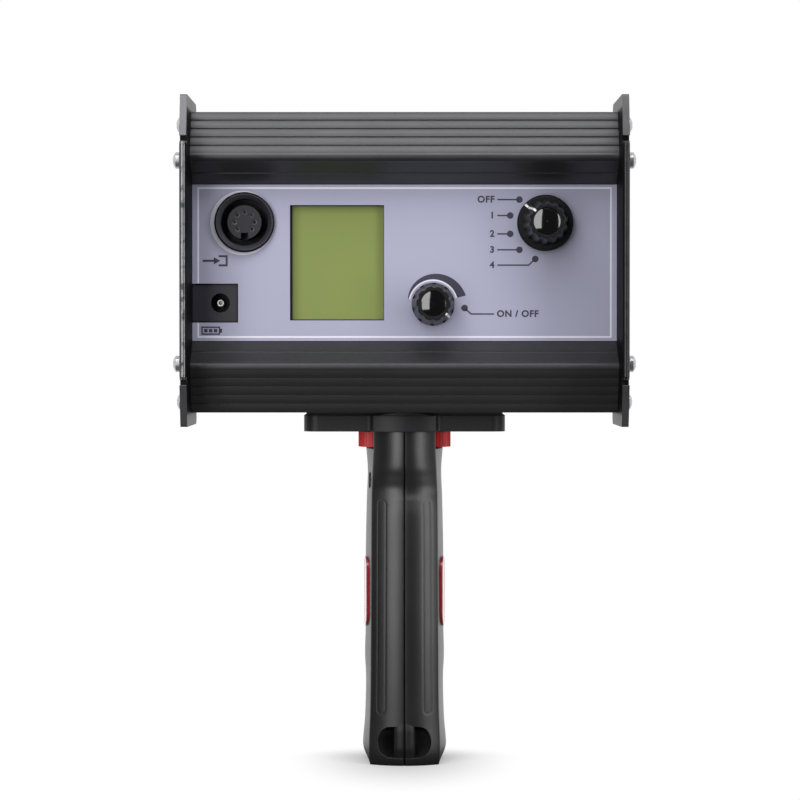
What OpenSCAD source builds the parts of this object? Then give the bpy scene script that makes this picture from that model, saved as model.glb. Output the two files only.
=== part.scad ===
// Hand-held LED stroboscope on a pistol grip, rear (control) side towards -Y, flash side towards +Y.
// Millimetres, +Z up, origin on the table under the middle of the object.

/* [Housing profiles] */
// Height of the housing's centre line above the table
housing_z = 176.8; // [165:0.1:190]
// Length of the two extruded profiles between the side plates
profile_len = 148.4; // [146:0.1:160]
// Half height of the closed pair of profiles
profile_half_h = 52.3; // [51.8:0.1:56]
// Half depth of the flat top and bottom
flat_half_d = 30; // [29:0.1:33]
// Half depth at the lips that frame the panels
lip_y = 37; // [36:0.1:40]
// Half of the clear height between the lips
lip_z = 37.3; // [35:0.1:38]
// Wall of the profiles
profile_wall = 2.4; // [1.8:0.1:3]
// Convex ribs on each sloping face
rib_count = 5; // [3:1:8]
// Height of one rib over the groove beside it
rib_h = 0.2; // [0.1:0.05:1.2]
// Width of the fine groove between two ribs
rib_groove = 0.6; // [0.3:0.05:1]

/* [Panels] */
// Distance of both panel faces from the middle of the housing
panel_y = 25; // [24:0.1:27]
// Half of the panel height left visible
panel_half_vis = 27.3; // [26.8:0.1:29]
// Thickness of the control panel and of the front bezel
panel_t = 2; // [1.5:0.1:2.5]
// How far the panels reach into their grooves
groove_deep = 2.7; // [1.5:0.1:3.5]
// Thickness of the printed foil
foil_t = 0.25; // [0.15:0.05:0.5]

/* [Side plates] */
// Thickness of the side plates
plate_t = 2.4; // [1.5:0.1:3]
// Half depth of the side plates over their rounded guard edges
plate_half_d = 55; // [52:0.5:65]
// Half height of the side plates over their ears
ear_half_h = 56.8; // [55:0.1:62]
// Length of each ear along the depth
ear_len = 50; // [35:0.5:52]
// How far the ear edges stand back from the guard edge
ear_back = 1; // [0.5:0.1:3]
// How far each ear edge leans back over its height
ear_lean = 4; // [0:0.1:6]
// Height of the slot between guard edge and ear
notch_z = 41.6; // [40:0.1:44]
// Width of that slot
notch_w = 1.8; // [1:0.1:3]
// Depth of that slot
notch_deep = 4.5; // [2:0.1:8]

/* [Fasteners] */
// Thread diameter of the small screws
screw_d = 3; // [2.5:0.1:3.2]
// Pan head diameter
head_d = 5.7; // [5:0.1:6]
// Pan head height
head_h = 2.4; // [1.8:0.1:3]
// Height of the washer stack under each side head
washer_h = 1.5; // [0.5:0.1:2]
// Diameter of the washers
washer_d = 6.4; // [6:0.1:7]
// Radial clearance of a fixed screw in its hole
screw_gap = 0.1; // [0.05:0.01:0.2]
// Radial running clearance of a turning shaft
run_gap = 0.05; // [0.02:0.01:0.1]

/* [Display and sockets] */
// Width of the display window
lcd_w = 32.9; // [28:0.1:36]
// Height of the display window
lcd_h = 40.3; // [34:0.1:44]
// Display centre, right of the middle
lcd_x = -23.6; // [-25:0.1:-22]
// Outer diameter of the round input socket
din_d = 21; // [19:0.1:22]
// Diameter of its contact insert
din_insert_d = 11.9; // [10:0.1:13]
// Input socket centre, right of the middle
din_x = -55.9; // [-58:0.1:-55]
// Input socket centre, above the middle
din_z = 14.1; // [13:0.1:15]
// Width of the charge jack block, from the side plate inwards
jack_w = 16; // [14:0.1:18]
// Height of the charge jack block
jack_h = 13.65; // [11:0.05:15]
// Charge jack height, relative to the middle
jack_z = -14.1; // [-15:0.1:-12]
// Bore of the charge jack
jack_bore = 6.7; // [5.5:0.1:7.5]

/* [Mode selector] */
// Selector axis, right of the middle
mode_x = 49.1; // [47:0.1:51]
// Selector axis, above the middle
mode_z = 13.8; // [12.8:0.1:14]
// Diameter of the selector knob's skirt
mode_skirt_d = 19.6; // [18:0.1:22]
// Diameter of its fluted body
mode_body_d = 15.8; // [15:0.1:17]
// Height of the selector knob
mode_knob_h = 15.6; // [12:0.1:18]
// Flutes round the selector knob
mode_flutes = 14; // [8:1:18]
// Direction of the selector's white line at OFF, from +X towards +Z
mode_off_angle = 138; // [120:1:150]

/* [Push encoder] */
// Encoder axis, right of the middle
enc_x = 10; // [8:0.1:12]
// Encoder axis, relative to the middle
enc_z = -14.5; // [-15:0.1:-13]
// Diameter of the encoder knob
enc_knob_d = 15; // [14:0.1:17]
// Height of the encoder knob
enc_knob_h = 13.2; // [11:0.1:15]
// Flutes round the encoder knob
enc_flutes = 10; // [6:1:14]
// Travel of the push
enc_push = 1; // [0.5:0.1:1.2]
// Direction of the encoder's white line at rest, from +X towards +Z
enc_mark_angle = -39; // [-90:1:90]

/* [Flash side] */
// Columns of LEDs
led_cols = 7; // [5:1:7]
// Rows of LEDs
led_rows = 3; // [2:1:3]
// Spacing of the LEDs
led_pitch = 16; // [14:0.1:16.2]
// Middle of the LED field, right of the middle
led_x = -9; // [-10:0.1:-8]
// Laser aperture, right of the middle
laser_x = 63; // [62:0.1:64]

/* [Handle head] */
// Width of the platform under the housing
platform_w = 71; // [60:0.5:85]
// Depth of the platform
platform_d = 40; // [36:0.5:52]
// Thickness of the platform
platform_t = 5.7; // [5:0.1:7]
// Thickness of the rubber pad on it
pad_t = 1.2; // [0.8:0.1:2]
// Diameter of the red clamping wheel
wheel_d = 33; // [29:0.1:34]
// Height of the clamping wheel
wheel_h = 5.4; // [4:0.1:5.6]
// Ribs round the clamping wheel
wheel_ribs = 60; // [40:1:80]
// Diameter of the clamping screw
clamp_d = 6.35; // [6:0.05:6.4]

/* [Grip] */
// Height of the neck that holds the wheel
neck_h = 6.2; // [5.8:0.1:7]
// Width of the neck
neck_w = 22.2; // [20:0.1:24]
// Half depth of the neck
neck_half_d = 22.5; // [21.5:0.1:24]
// Width of the grip relative to the photographed one
grip_fat = 1; // [0.95:0.01:1.1]
// Height of the strap lug's middle
lug_z = 8.4; // [7.5:0.1:10]
// Width of the strap lug's recess
lug_w = 20; // [18:0.1:21]
// Height of the strap lug's recess
lug_h = 10.6; // [9:0.1:11]
// Width of the bar across it
lug_bar = 7; // [5:0.1:8]

/* [Hidden] */
$fn = 64;
half_len = profile_len / 2;
// places along the panel keep their share of the profile length
panel_k = profile_len / 148.4;
lcd_at = lcd_x * panel_k;
din_at = din_x * panel_k;
mode_at = mode_x * panel_k;
enc_at = enc_x * panel_k;
led_at = led_x * panel_k;
laser_at = laser_x * panel_k;
led_step = led_pitch * panel_k;
outer_x = half_len + plate_t;
rear_face = -panel_y - foil_t;
panel_back = -panel_y + panel_t;
inner_y = panel_y - panel_t - 2;
groove_z = panel_half_vis + groove_deep;
board_t = 1.6;
guide_w = 1.4;
guide_t = 1.2;
boss_r = 2.9;
channel_in = 5;
channel_drop = 2;
channel_deep = 3.5;
top_channel_y = 14.9;
// screw channels of a profile, as [depth, height] in the upper front quarter
lip_channel = [lip_y - channel_in, lip_z - channel_drop];
top_channel = [top_channel_y, profile_half_h - channel_deep];
// control board plane, behind the switch bodies
switch_deep = 12;
board_y = panel_back + switch_deep;
// flash side stack, from the bezel inwards
window_t = 3;
reflector_t = 12;
sink_t = 3;
fin_h = 6;
window_y = panel_y - panel_t;
reflector_y = window_y - window_t;
led_board_y = reflector_y - reflector_t;
sink_y = led_board_y - board_t;
opening_w = led_cols * led_step + led_step / 8;
opening_h = led_rows * led_pitch;
stack_rim = 6;
stack_lap = 1.5;
stack_half_w = opening_w / 2 + stack_rim;
stack_half_h = opening_h / 2 + stack_lap;
// heights under the housing
housing_floor = housing_z - profile_half_h;
platform_top = housing_floor - pad_t;
platform_z = platform_top - platform_t;
shoulder_z = platform_z - neck_h;
wheel_z = shoulder_z + (neck_h - wheel_h) / 2;
stub_len = 3;
// battery bay, standing on the screw channels of the lower profile and clear of the guides and the LED stack
tray_z = boss_r - top_channel[1];
tray_t = 1.5;
tray_wall = 3;
tray_gap = 5.2;
cell_gap = 1.2;
cell_d = min(inner_y - guide_w - cell_gap, -tray_z - tray_t - stack_half_h - cell_gap / 2);
cell_len = half_len - tray_gap - tray_wall - cell_gap;
bush_d = 10;
bush_top = profile_half_h + tray_z;
clamp_tip = housing_floor + bush_top - run_gap * 8;
// knob heights over the foil
knob_gap = 0.8;
enc_gap = enc_push + 0.6;
cap_t = 1.2;
cap_seat = 0.6;
mode_top = rear_face - knob_gap - mode_knob_h;
enc_top = rear_face - enc_gap - enc_knob_h;

// profile along X of a shape drawn as [depth, height] about the housing centre
module along_x(x0, x1)
    translate([x0, 0, housing_z])
        rotate([90, 0, 90])
            linear_extrude(x1 - x0)
                children();

// plate between two depths of a shape drawn as [x, height] about the housing centre
module along_y(y0, y1)
    translate([0, y1, housing_z])
        rotate([90, 0, 0])
            linear_extrude(y1 - y0)
                children();

// round bar along Y about the housing centre
module bar_y(x, z, d, y0, y1)
    translate([x, y0, housing_z + z])
        rotate([-90, 0, 0])
            cylinder(d = d, h = y1 - y0);

// tapered bar along Y about the housing centre
module cone_y(x, z, d0, d1, y0, y1)
    translate([x, y0, housing_z + z])
        rotate([-90, 0, 0])
            cylinder(d1 = d0, d2 = d1, h = y1 - y0);

// round bar along X
module bar_x(y, z, d, x0, x1)
    translate([x0, y, z])
        rotate([0, 90, 0])
            cylinder(d = d, h = x1 - x0);

// block about the housing centre
module block(x0, x1, y0, y1, z0, z1)
    translate([x0, y0, housing_z + z0])
        cube([x1 - x0, y1 - y0, z1 - z0]);

module rounded(w, h, r) {
    square([w - 2 * r, h], center = true);
    square([w, h - 2 * r], center = true);
    for (x = [-1, 1], y = [-1, 1])
        translate([x * (w / 2 - r), y * (h / 2 - r)])
            circle(r);
}

module stadium(w, h) {
    r = min(w, h) / 2;
    square([max(w - 2 * r, 0.01), h], center = true);
    square([w, max(h - 2 * r, 0.01)], center = true);
    for (s = [-1, 1])
        translate([s * (w / 2 - r), s * (h / 2 - r)])
            circle(r);
}

function mirrored(pts) = [for (i = [len(pts) - 1 : -1 : 0]) [-pts[i][0], pts[i][1]]];

// the ribbed slope, from the edge of the flat to the lip
slope_from = [flat_half_d, profile_half_h];
slope = [lip_y, lip_z] - slope_from;
slope_len = norm(slope);
slope_dir = slope / slope_len;
slope_out = [-slope_dir[1], slope_dir[0]];
rib_pitch = slope_len / rib_count;
rib_r = (rib_pitch * rib_pitch / 4 + rib_h * rib_h) / (2 * rib_h);
groove_start = slope_from - slope_out * rib_h;
groove_end = groove_start + slope;
// rounded lip at the slope's end, and the ramp from it down to the panel
lip_r = 2;
lip_c = groove_end - slope_out * (lip_r - 0.08);
ramp_top = lip_c + lip_r * [0.5, -0.8];
ramp_mid = (ramp_top + [panel_y, panel_half_vis]) / 2;
flat_end = groove_start[0] + slope_dir[0] * (profile_half_h - groove_start[1]) / slope_dir[1];
cavity_top = profile_half_h - profile_wall;
cavity_slope = groove_start - slope_out * profile_wall;
cavity_y = cavity_slope[0] + slope_dir[0] * (cavity_top - cavity_slope[1]) / slope_dir[1];
cavity_step = 7;
cavity_low = cavity_top - cavity_step;
guide_room = 3.9;
guide_z = cavity_low - 2 - 2 * guide_t - board_t - guide_room;
cavity_low_y = cavity_y + slope_dir[0] * (cavity_low - cavity_top) / slope_dir[1];

// front half of a profile's outline as [depth, height], from the flat round to the cavity
half_outline = [
    [flat_end, profile_half_h],
    groove_end,
    ramp_top,
    [panel_y, panel_half_vis],
    [panel_y, groove_z],
    [panel_y - panel_t, groove_z],
    [panel_y - panel_t, panel_half_vis + 0.7],
    [inner_y, panel_half_vis + 0.7],
    [inner_y, guide_z],
    [inner_y - guide_w, guide_z],
    [inner_y - guide_w, guide_z + guide_t],
    [inner_y, guide_z + guide_t],
    [inner_y, guide_z + guide_t + board_t],
    [inner_y - guide_w, guide_z + guide_t + board_t],
    [inner_y - guide_w, guide_z + 2 * guide_t + board_t],
    [inner_y, guide_z + 2 * guide_t + board_t],
    [inner_y, cavity_low - 2],
    [cavity_low_y - 2, cavity_low - 2],
    [cavity_low_y, cavity_low],
    [cavity_y, cavity_top]
];

// one convex rib, a circle's cap standing on the groove line
module rib(i)
    translate(groove_start + slope_dir * rib_pitch * (i + 0.5))
        rotate(atan2(slope_dir[1], slope_dir[0]))
            intersection() {
                translate([0, rib_h - rib_r])
                    circle(rib_r);
                translate([-rib_pitch / 2, -0.3])
                    square([rib_pitch, rib_h + 1]);
            }

// one profile as a solid, the upper way up
module profile_bar()
    difference() {
        union() {
            along_x(-half_len, half_len)
                polygon(concat(half_outline, mirrored(half_outline)));
            for (s = [0, 1])
                mirror([0, s, 0]) {
                    for (i = [0 : rib_count - 1])
                        along_x(-half_len, half_len)
                            rib(i);
                    bar_x(top_channel[0], housing_z + top_channel[1], 2 * boss_r, -half_len, half_len);
                    bar_x(lip_c[0], housing_z + lip_c[1], 2 * lip_r, -half_len, half_len);
                }
        }
        for (s = [0, 1])
            mirror([0, s, 0]) {
                for (p = [lip_channel, top_channel])
                    bar_x(p[0], housing_z + p[1], screw_d, -half_len - 1, half_len + 1);
                // fine grooves between the ribs
                for (i = [1 : rib_count - 1])
                    let (p = groove_start + slope_dir * rib_pitch * i)
                        bar_x(p[0], housing_z + p[1], rib_groove, -half_len - 1, half_len + 1);
                // shadow line half way down the recess
                bar_x(ramp_mid[0], housing_z + ramp_mid[1], 0.9, -half_len - 1, half_len + 1);
            }
    }

module top_profile()
    color("#2b2b2d")
        profile_bar();

module bottom_profile()
    color("#2b2b2d")
        difference() {
            translate([0, 0, 2 * housing_z])
                mirror([0, 0, 1])
                    profile_bar();
            translate([0, 0, housing_floor - 1])
                cylinder(d = bush_d, h = profile_wall + 2);
        }

// upper quarter of a side plate, as [depth from the middle, height]; the control side has ears
guard_r = plate_t / 2;
function quarter_outline(ear) =
    let (top = ear ? ear_half_h : profile_half_h, edge = plate_half_d - ear_back - ear_lean)
        concat(
            [
                [0, 0],
                [plate_half_d - guard_r, 0],
                [plate_half_d - guard_r, notch_z - notch_w / 2 - guard_r],
                [plate_half_d - guard_r - 1.5, notch_z - notch_w / 2],
                [plate_half_d - notch_deep, notch_z - notch_w / 2],
                [plate_half_d - notch_deep, notch_z + notch_w / 2],
                [plate_half_d - ear_back, notch_z + notch_w / 2],
                [edge, top - 0.6],
                [edge - 0.6, top]
            ],
            ear ? [
                [plate_half_d - ear_len + 1.5, top],
                [plate_half_d - ear_len, top - 1.5],
                [plate_half_d - ear_len, profile_half_h]
            ] : [],
            [[0, profile_half_h]]
        );

// screw places of a side plate, [depth, height]
plate_screw_places = [for (p = [lip_channel, top_channel], y = [-1, 1], z = [-1, 1]) [y * p[0], z * p[1]]];

module side_plate()
    difference() {
        union() {
            along_x(half_len, outer_x)
                for (y = [0, 1], z = [0, 1])
                    mirror([y, 0])
                        mirror([0, z])
                            polygon(quarter_outline(y == 1));
            // rounded guard edges
            for (s = [-1, 1])
                translate([half_len + guard_r, s * (plate_half_d - guard_r), housing_z]) {
                    cylinder(r = guard_r, h = 2 * (notch_z - notch_w / 2 - guard_r), center = true);
                    for (z = [-1, 1])
                        translate([0, 0, z * (notch_z - notch_w / 2 - guard_r)])
                            sphere(guard_r);
                }
        }
        for (p = plate_screw_places)
            bar_x(p[0], housing_z + p[1], screw_d + 2 * screw_gap, half_len - 1, outer_x + 1);
    }

module right_side_plate()
    color("#303032")
        side_plate();

module left_side_plate()
    color("#303032")
        mirror([1, 0, 0])
            side_plate();

module pan_screw(len) {
    translate([0, 0, -len])
        cylinder(d = screw_d - 2 * screw_gap, h = len + 0.01);
    difference() {
        intersection() {
            cylinder(d = head_d, h = head_h);
            translate([0, 0, head_h - head_d * 0.75])
                sphere(head_d * 0.75);
        }
        for (a = [0, 90])
            rotate(a)
                translate([-head_d / 4, -head_d / 19, head_h * 0.54])
                    cube([head_d / 2, head_d / 9.5, head_h]);
    }
}

side_screw_len = 12;

module plate_screws()
    color("#c9c9cc")
        for (s = [0, 1], p = plate_screw_places)
            mirror([s, 0, 0])
                translate([outer_x + washer_h, p[0], housing_z + p[1]])
                    rotate([0, 90, 0])
                        pan_screw(side_screw_len);

module plate_washers()
    color("#b5b5b8")
        for (s = [0, 1], p = plate_screw_places)
            mirror([s, 0, 0])
                difference() {
                    union() {
                        bar_x(p[0], housing_z + p[1], washer_d, outer_x, outer_x + washer_h * 0.4);
                        bar_x(p[0], housing_z + p[1], washer_d - 0.8, outer_x, outer_x + washer_h);
                    }
                    bar_x(p[0], housing_z + p[1], screw_d + 2 * screw_gap, outer_x - 1, outer_x + 4);
                }

// what is cut through both the control panel and its foil
module panel_holes(grow) {
    translate([lcd_at, 0])
        square([lcd_w + 2 * grow, lcd_h + 2 * grow], center = true);
    translate([din_at, din_z])
        circle(d = din_d - 3);
    translate([mode_at, mode_z])
        circle(d = mode_bush_d + 2 * screw_gap);
    translate([enc_at, enc_z])
        circle(d = enc_bush_d + 2 * screw_gap);
    translate([-half_len - 1, jack_z - jack_h / 2])
        square([jack_w + 1, jack_h]);
}

module control_panel()
    color("#8f8f99")
        along_y(-panel_y, panel_back)
            difference() {
                square([profile_len, 2 * groove_z], center = true);
                panel_holes(0);
            }

module panel_foil()
    color("#adadc0")
        along_y(rear_face, -panel_y)
            difference() {
                square([profile_len, 2 * panel_half_vis], center = true);
                panel_holes(0);
            }

lcd_glass_t = 2.8;
lcd_over = 1.8;
lcd_board_side = 3;
lcd_board_tall = 4;
header_w = lcd_w * 0.91;
header_h = 2.6;
lcd_board_y = panel_back + lcd_glass_t;

module lcd_glass()
    color("#8b9858")
        block(lcd_at - lcd_w / 2 - lcd_over, lcd_at + lcd_w / 2 + lcd_over, panel_back, lcd_board_y,
            -lcd_h / 2 - lcd_over, lcd_h / 2 + lcd_over);

module lcd_board()
    color("#2f5a3a")
        block(lcd_at - lcd_w / 2 - lcd_board_side, lcd_at + lcd_w / 2 + lcd_board_side,
            lcd_board_y, lcd_board_y + board_t, -lcd_h / 2 - lcd_board_tall, lcd_h / 2 + lcd_board_tall);

module lcd_header()
    color("#1d1d1f")
        for (s = [-1, 1])
            block(lcd_at - header_w / 2, lcd_at + header_w / 2, lcd_board_y + board_t, board_y,
                s * lcd_h / 2 - header_h / 2, s * lcd_h / 2 + header_h / 2);

din_shell_r = din_d / 2 - 1.6;
din_bore_r = din_shell_r - 0.7;
din_proud = 2.4;
din_deep = 8;
din_back = panel_back + din_deep;
din_floor = 1.5;

module input_shell()
    color("#2a2a2c")
        translate([din_at, 0, housing_z + din_z])
            rotate([-90, 0, 0])
                rotate_extrude()
                    polygon([
                        [din_bore_r, rear_face - din_proud + 1.2],
                        [din_bore_r + 1.4, rear_face - din_proud],
                        [din_d / 2 - 0.6, rear_face - din_proud],
                        [din_d / 2, rear_face - din_proud + 0.6],
                        [din_d / 2, rear_face],
                        [din_shell_r, rear_face],
                        [din_shell_r, din_back],
                        [din_insert_d / 2, din_back],
                        [din_insert_d / 2, din_back - din_floor],
                        [din_bore_r, din_back - din_floor]
                    ]);

din_face = rear_face - 1.2;
din_pin_r = din_insert_d * 0.294;
din_pin_d = din_insert_d / 7;
din_pin_deep = 7;
din_key = din_insert_d * 0.21;
din_pin_angles = [for (i = [0 : 6]) -45 + 45 * i];

module input_insert()
    color("#262628")
        difference() {
            union() {
                bar_y(din_at, din_z, din_insert_d, din_face, din_back);
                bar_y(din_at, din_z, din_insert_d + 2.4, din_back, din_back + 2);
            }
            for (a = din_pin_angles)
                bar_y(din_at + din_pin_r * cos(a), din_z + din_pin_r * sin(a), din_pin_d,
                    din_face - 1, din_face + din_pin_deep);
            block(din_at - din_key / 2, din_at + din_key / 2, din_face - 1, din_face + din_pin_deep,
                din_z - din_insert_d / 2 - 1, din_z - din_insert_d / 2 + din_key * 0.9);
        }

module input_contacts()
    color("#c8b27a")
        for (a = din_pin_angles)
            difference() {
                bar_y(din_at + din_pin_r * cos(a), din_z + din_pin_r * sin(a), din_pin_d,
                    din_face + din_pin_d / 2, din_face + din_pin_deep);
                bar_y(din_at + din_pin_r * cos(a), din_z + din_pin_r * sin(a), din_pin_d * 0.65,
                    din_face, din_face + din_pin_deep - 1);
            }

din_nut_h = 2.5;

module input_nut()
    color("#b5b5b8")
        difference() {
            bar_y(din_at, din_z, din_d + 0.4, panel_back, panel_back + din_nut_h);
            bar_y(din_at, din_z, 2 * din_shell_r, panel_back - 1, panel_back + din_nut_h + 1);
        }

jack_x = -half_len + jack_w * 0.606;
jack_face = -panel_y + 0.4;
jack_deep = 14;
jack_pin_d = jack_bore * 0.373;
jack_bore_deep = jack_deep * 0.7;

module charge_jack()
    color("#1c1c1e")
        difference() {
            block(-half_len, -half_len + jack_w, jack_face, panel_back + jack_deep,
                jack_z - jack_h / 2, jack_z + jack_h / 2);
            bar_y(jack_x, jack_z, jack_bore, jack_face - 1, jack_face + jack_bore_deep);
            bar_y(jack_x, jack_z, jack_pin_d, jack_face, jack_face + jack_bore_deep + 3);
        }

module charge_pin()
    color("#d4d4d6")
        difference() {
            bar_y(jack_x, jack_z, jack_pin_d, jack_face + 1.5, jack_face + jack_bore_deep + 3);
            bar_y(jack_x, jack_z, jack_pin_d / 2, jack_face, jack_face + jack_bore_deep / 2);
        }

nut_h = 2;

// hexagonal panel nut on the foil
module panel_nut(x, z, flats, bore)
    difference() {
        translate([x, rear_face - nut_h, housing_z + z])
            rotate([-90, 0, 0])
                cylinder(d = flats / cos(30), h = nut_h, $fn = 6);
        bar_y(x, z, bore, rear_face - 3, rear_face + 1);
    }

mode_shaft_d = 6;
mode_bush_d = mode_shaft_d * 1.5;
mode_nut_flats = mode_bush_d * 4 / 3;
mode_hollow_d = mode_nut_flats / cos(30) + 1.15;
mode_bush_tip = rear_face - nut_h - 1.2;
mode_shaft_end = board_y - 2.5;
mode_switch_w = 25;
mode_switch_h = 24;

module mode_switch()
    color("#3a3a3e")
        difference() {
            union() {
                along_y(panel_back, board_y)
                    translate([mode_at, mode_z])
                        rounded(mode_switch_w, mode_switch_h, 3);
                bar_y(mode_at, mode_z, mode_bush_d, mode_bush_tip, panel_back + 1);
            }
            bar_y(mode_at, mode_z, mode_shaft_d + 2 * run_gap, mode_bush_tip - 1, mode_shaft_end + 0.4);
        }

module mode_nut()
    color("#bdbdc0")
        panel_nut(mode_at, mode_z, mode_nut_flats, mode_bush_d);

module mode_shaft()
    color("#c9c9cc")
        bar_y(mode_at, mode_z, mode_shaft_d, mode_top + 3, mode_shaft_end);

// domed cap in a knob's seat, from its crown down to the seat
module dome_cap(x, z, d, crown, seat)
    intersection() {
        bar_y(x, z, d, crown - 1, seat);
        translate([x, crown + d * 1.3, housing_z + z])
            rotate([90, 0, 0])
                sphere(d * 1.3, $fn = 240);
    }

knob_taper = 0.79;
line_w = 0.8;
line_deep = 0.45;

// tapered knob body with leaning flutes, seat for its cap and hollow for the nut, opening towards +Y
module knob_blank(x, z, top, skirt_y, foot, d, flutes, mark, hollow_d, hollow_y, shaft_d, seat_d)
    difference() {
        union() {
            cone_y(x, z, d * knob_taper, d, top, skirt_y);
            bar_y(x, z, d, skirt_y, foot);
        }
        for (i = [0 : flutes - 1])
            translate([x, top, housing_z + z])
                rotate([0, -mark - 360 * (i + 0.5) / flutes, 0])
                    translate([d * (knob_taper / 2 + 0.053), 0, 0])
                        rotate([0, 0, -atan(d * (1 - knob_taper) / 2 / (skirt_y - top))])
                            rotate([-90, 0, 0])
                                translate([0, 0, -2])
                                    cylinder(d = d / 6, h = skirt_y - top + 2);
        bar_y(x, z, hollow_d, hollow_y, foot + 1);
        bar_y(x, z, shaft_d, top + 3, foot + 1);
        bar_y(x, z, seat_d, top - 1, top + cap_seat);
    }

// radial slab that a knob's white line lies in
module line_slab(x, z, angle, r0, r1, y0, y1)
    translate([x, y0, housing_z + z])
        rotate([0, -angle, 0])
            translate([r0, 0, -line_w / 2])
                cube([r1 - r0, y1 - y0, line_w]);

// white line laid in a knob's face and wall, from a radius near the cap outwards
module knob_line(x, z, angle, d, r0, top, skirt_y)
    intersection() {
        difference() {
            cone_y(x, z, d * knob_taper + 0.1, d + 0.1, top - 0.05, skirt_y);
            cone_y(x, z, d * knob_taper - 2 * line_deep, d - 2 * line_deep, top + line_deep, skirt_y + 1);
        }
        line_slab(x, z, angle, r0, d, top - 1, skirt_y + 1);
    }

mode_skirt_h = 3.2;
mode_skirt_y = rear_face - knob_gap - mode_skirt_h;
mode_foot = rear_face - knob_gap;
mode_seat_d = mode_body_d * 0.61;

module mode_mark() {
    knob_line(mode_at, mode_z, mode_off_angle, mode_body_d, mode_seat_d / 2 + 0.4, mode_top, mode_skirt_y);
    line_slab(mode_at, mode_z, mode_off_angle, mode_body_d / 2 + 0.2, mode_skirt_d / 2 - 0.3,
        mode_skirt_y - 0.05, mode_skirt_y + 0.5);
}

module mode_knob()
    color("#1f1f21")
        difference() {
            union() {
                knob_blank(mode_at, mode_z, mode_top, mode_skirt_y, mode_foot - 0.2, mode_body_d, mode_flutes,
                    mode_off_angle, mode_hollow_d, mode_bush_tip - 0.5, mode_shaft_d, mode_seat_d);
                difference() {
                    union() {
                        cone_y(mode_at, mode_z, mode_skirt_d - 1.2, mode_skirt_d,
                            mode_skirt_y, mode_skirt_y + 0.6);
                        bar_y(mode_at, mode_z, mode_skirt_d, mode_skirt_y + 0.6, mode_foot);
                    }
                    bar_y(mode_at, mode_z, mode_hollow_d, mode_skirt_y - 1, mode_foot + 1);
                }
            }
            mode_mark();
        }

module mode_cap()
    color("#151517")
        dome_cap(mode_at, mode_z, mode_seat_d, mode_top + cap_seat - cap_t, mode_top + cap_seat);

module mode_pointer()
    color("#f2f2f2")
        mode_mark();

enc_shaft_d = 5;
enc_bush_d = enc_shaft_d * 1.5;
enc_nut_flats = enc_bush_d * 4 / 3;
enc_hollow_d = enc_nut_flats / cos(30) + 0.65;
enc_bush_tip = rear_face - nut_h - 0.8;
enc_body_w = 14;
enc_chamber_d = 9;
enc_chamber_y = panel_back + switch_deep / 2;
enc_shaft_end = enc_chamber_y + 0.3;
enc_disc_y = enc_shaft_end + 0.3;
enc_pin_d = 2.4;

module encoder_body()
    color("#3a3a3e")
        difference() {
            union() {
                along_y(panel_back, board_y)
                    translate([enc_at, enc_z])
                        rounded(enc_body_w, enc_body_w, 1.5);
                bar_y(enc_at, enc_z, enc_bush_d, enc_bush_tip, panel_back + 1);
            }
            bar_y(enc_at, enc_z, enc_shaft_d + 2 * run_gap, enc_bush_tip - 1, enc_chamber_y + 1);
            bar_y(enc_at, enc_z, enc_chamber_d, enc_chamber_y, board_y - 1);
        }

module encoder_nut()
    color("#bdbdc0")
        panel_nut(enc_at, enc_z, enc_nut_flats, enc_bush_d);

module encoder_plunger()
    color("#d8d4c8")
        union() {
            bar_y(enc_at, enc_z, enc_chamber_d - 1, enc_disc_y, enc_disc_y + 1.5);
            bar_y(enc_at, enc_z, enc_pin_d, enc_disc_y - 6, enc_disc_y + 1);
        }

module encoder_shaft()
    color("#c9c9cc")
        difference() {
            bar_y(enc_at, enc_z, enc_shaft_d, enc_top + 3, enc_shaft_end);
            bar_y(enc_at, enc_z, enc_pin_d + 2 * run_gap, enc_disc_y - 6.5, enc_shaft_end + 1);
        }

enc_foot = rear_face - enc_gap;
enc_seat_d = enc_knob_d * 0.6;

module enc_mark()
    knob_line(enc_at, enc_z, enc_mark_angle, enc_knob_d, enc_knob_d * 0.37, enc_top, enc_foot - 1.2);

module encoder_knob()
    color("#1f1f21")
        difference() {
            knob_blank(enc_at, enc_z, enc_top, enc_foot - 1.2, enc_foot, enc_knob_d, enc_flutes,
                enc_mark_angle, enc_hollow_d, enc_bush_tip - enc_push - 0.5, enc_shaft_d, enc_seat_d);
            enc_mark();
        }

module encoder_cap()
    color("#151517")
        dome_cap(enc_at, enc_z, enc_seat_d, enc_top + cap_seat - cap_t, enc_top + cap_seat);

module encoder_pointer()
    color("#f2f2f2")
        enc_mark();

board_end = 4;
board_left = lcd_at - lcd_w / 2 - lcd_board_side;
board_right = half_len - board_end;
board_w = board_right - board_left;
board_half_h = stack_half_h - 0.9;
standoff_flats = 5;
standoff_in = 3.2;
// standoffs stand half way between the bodies of the controls and at the board's end
standoff_xs = [(enc_at + enc_body_w / 2 + mode_at - mode_switch_w / 2) / 2,
    (mode_at + mode_switch_w / 2 + board_right) / 2];
standoff_places = [for (x = standoff_xs, z = [-1, 1]) [x, z * (board_half_h - standoff_in)]];

module control_board()
    color("#27502f")
        difference() {
            block(board_left, board_right, board_y, board_y + board_t, -board_half_h, board_half_h);
            for (p = standoff_places)
                bar_y(p[0], p[1], screw_d, board_y - 1, board_y + board_t + 1);
        }

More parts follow.
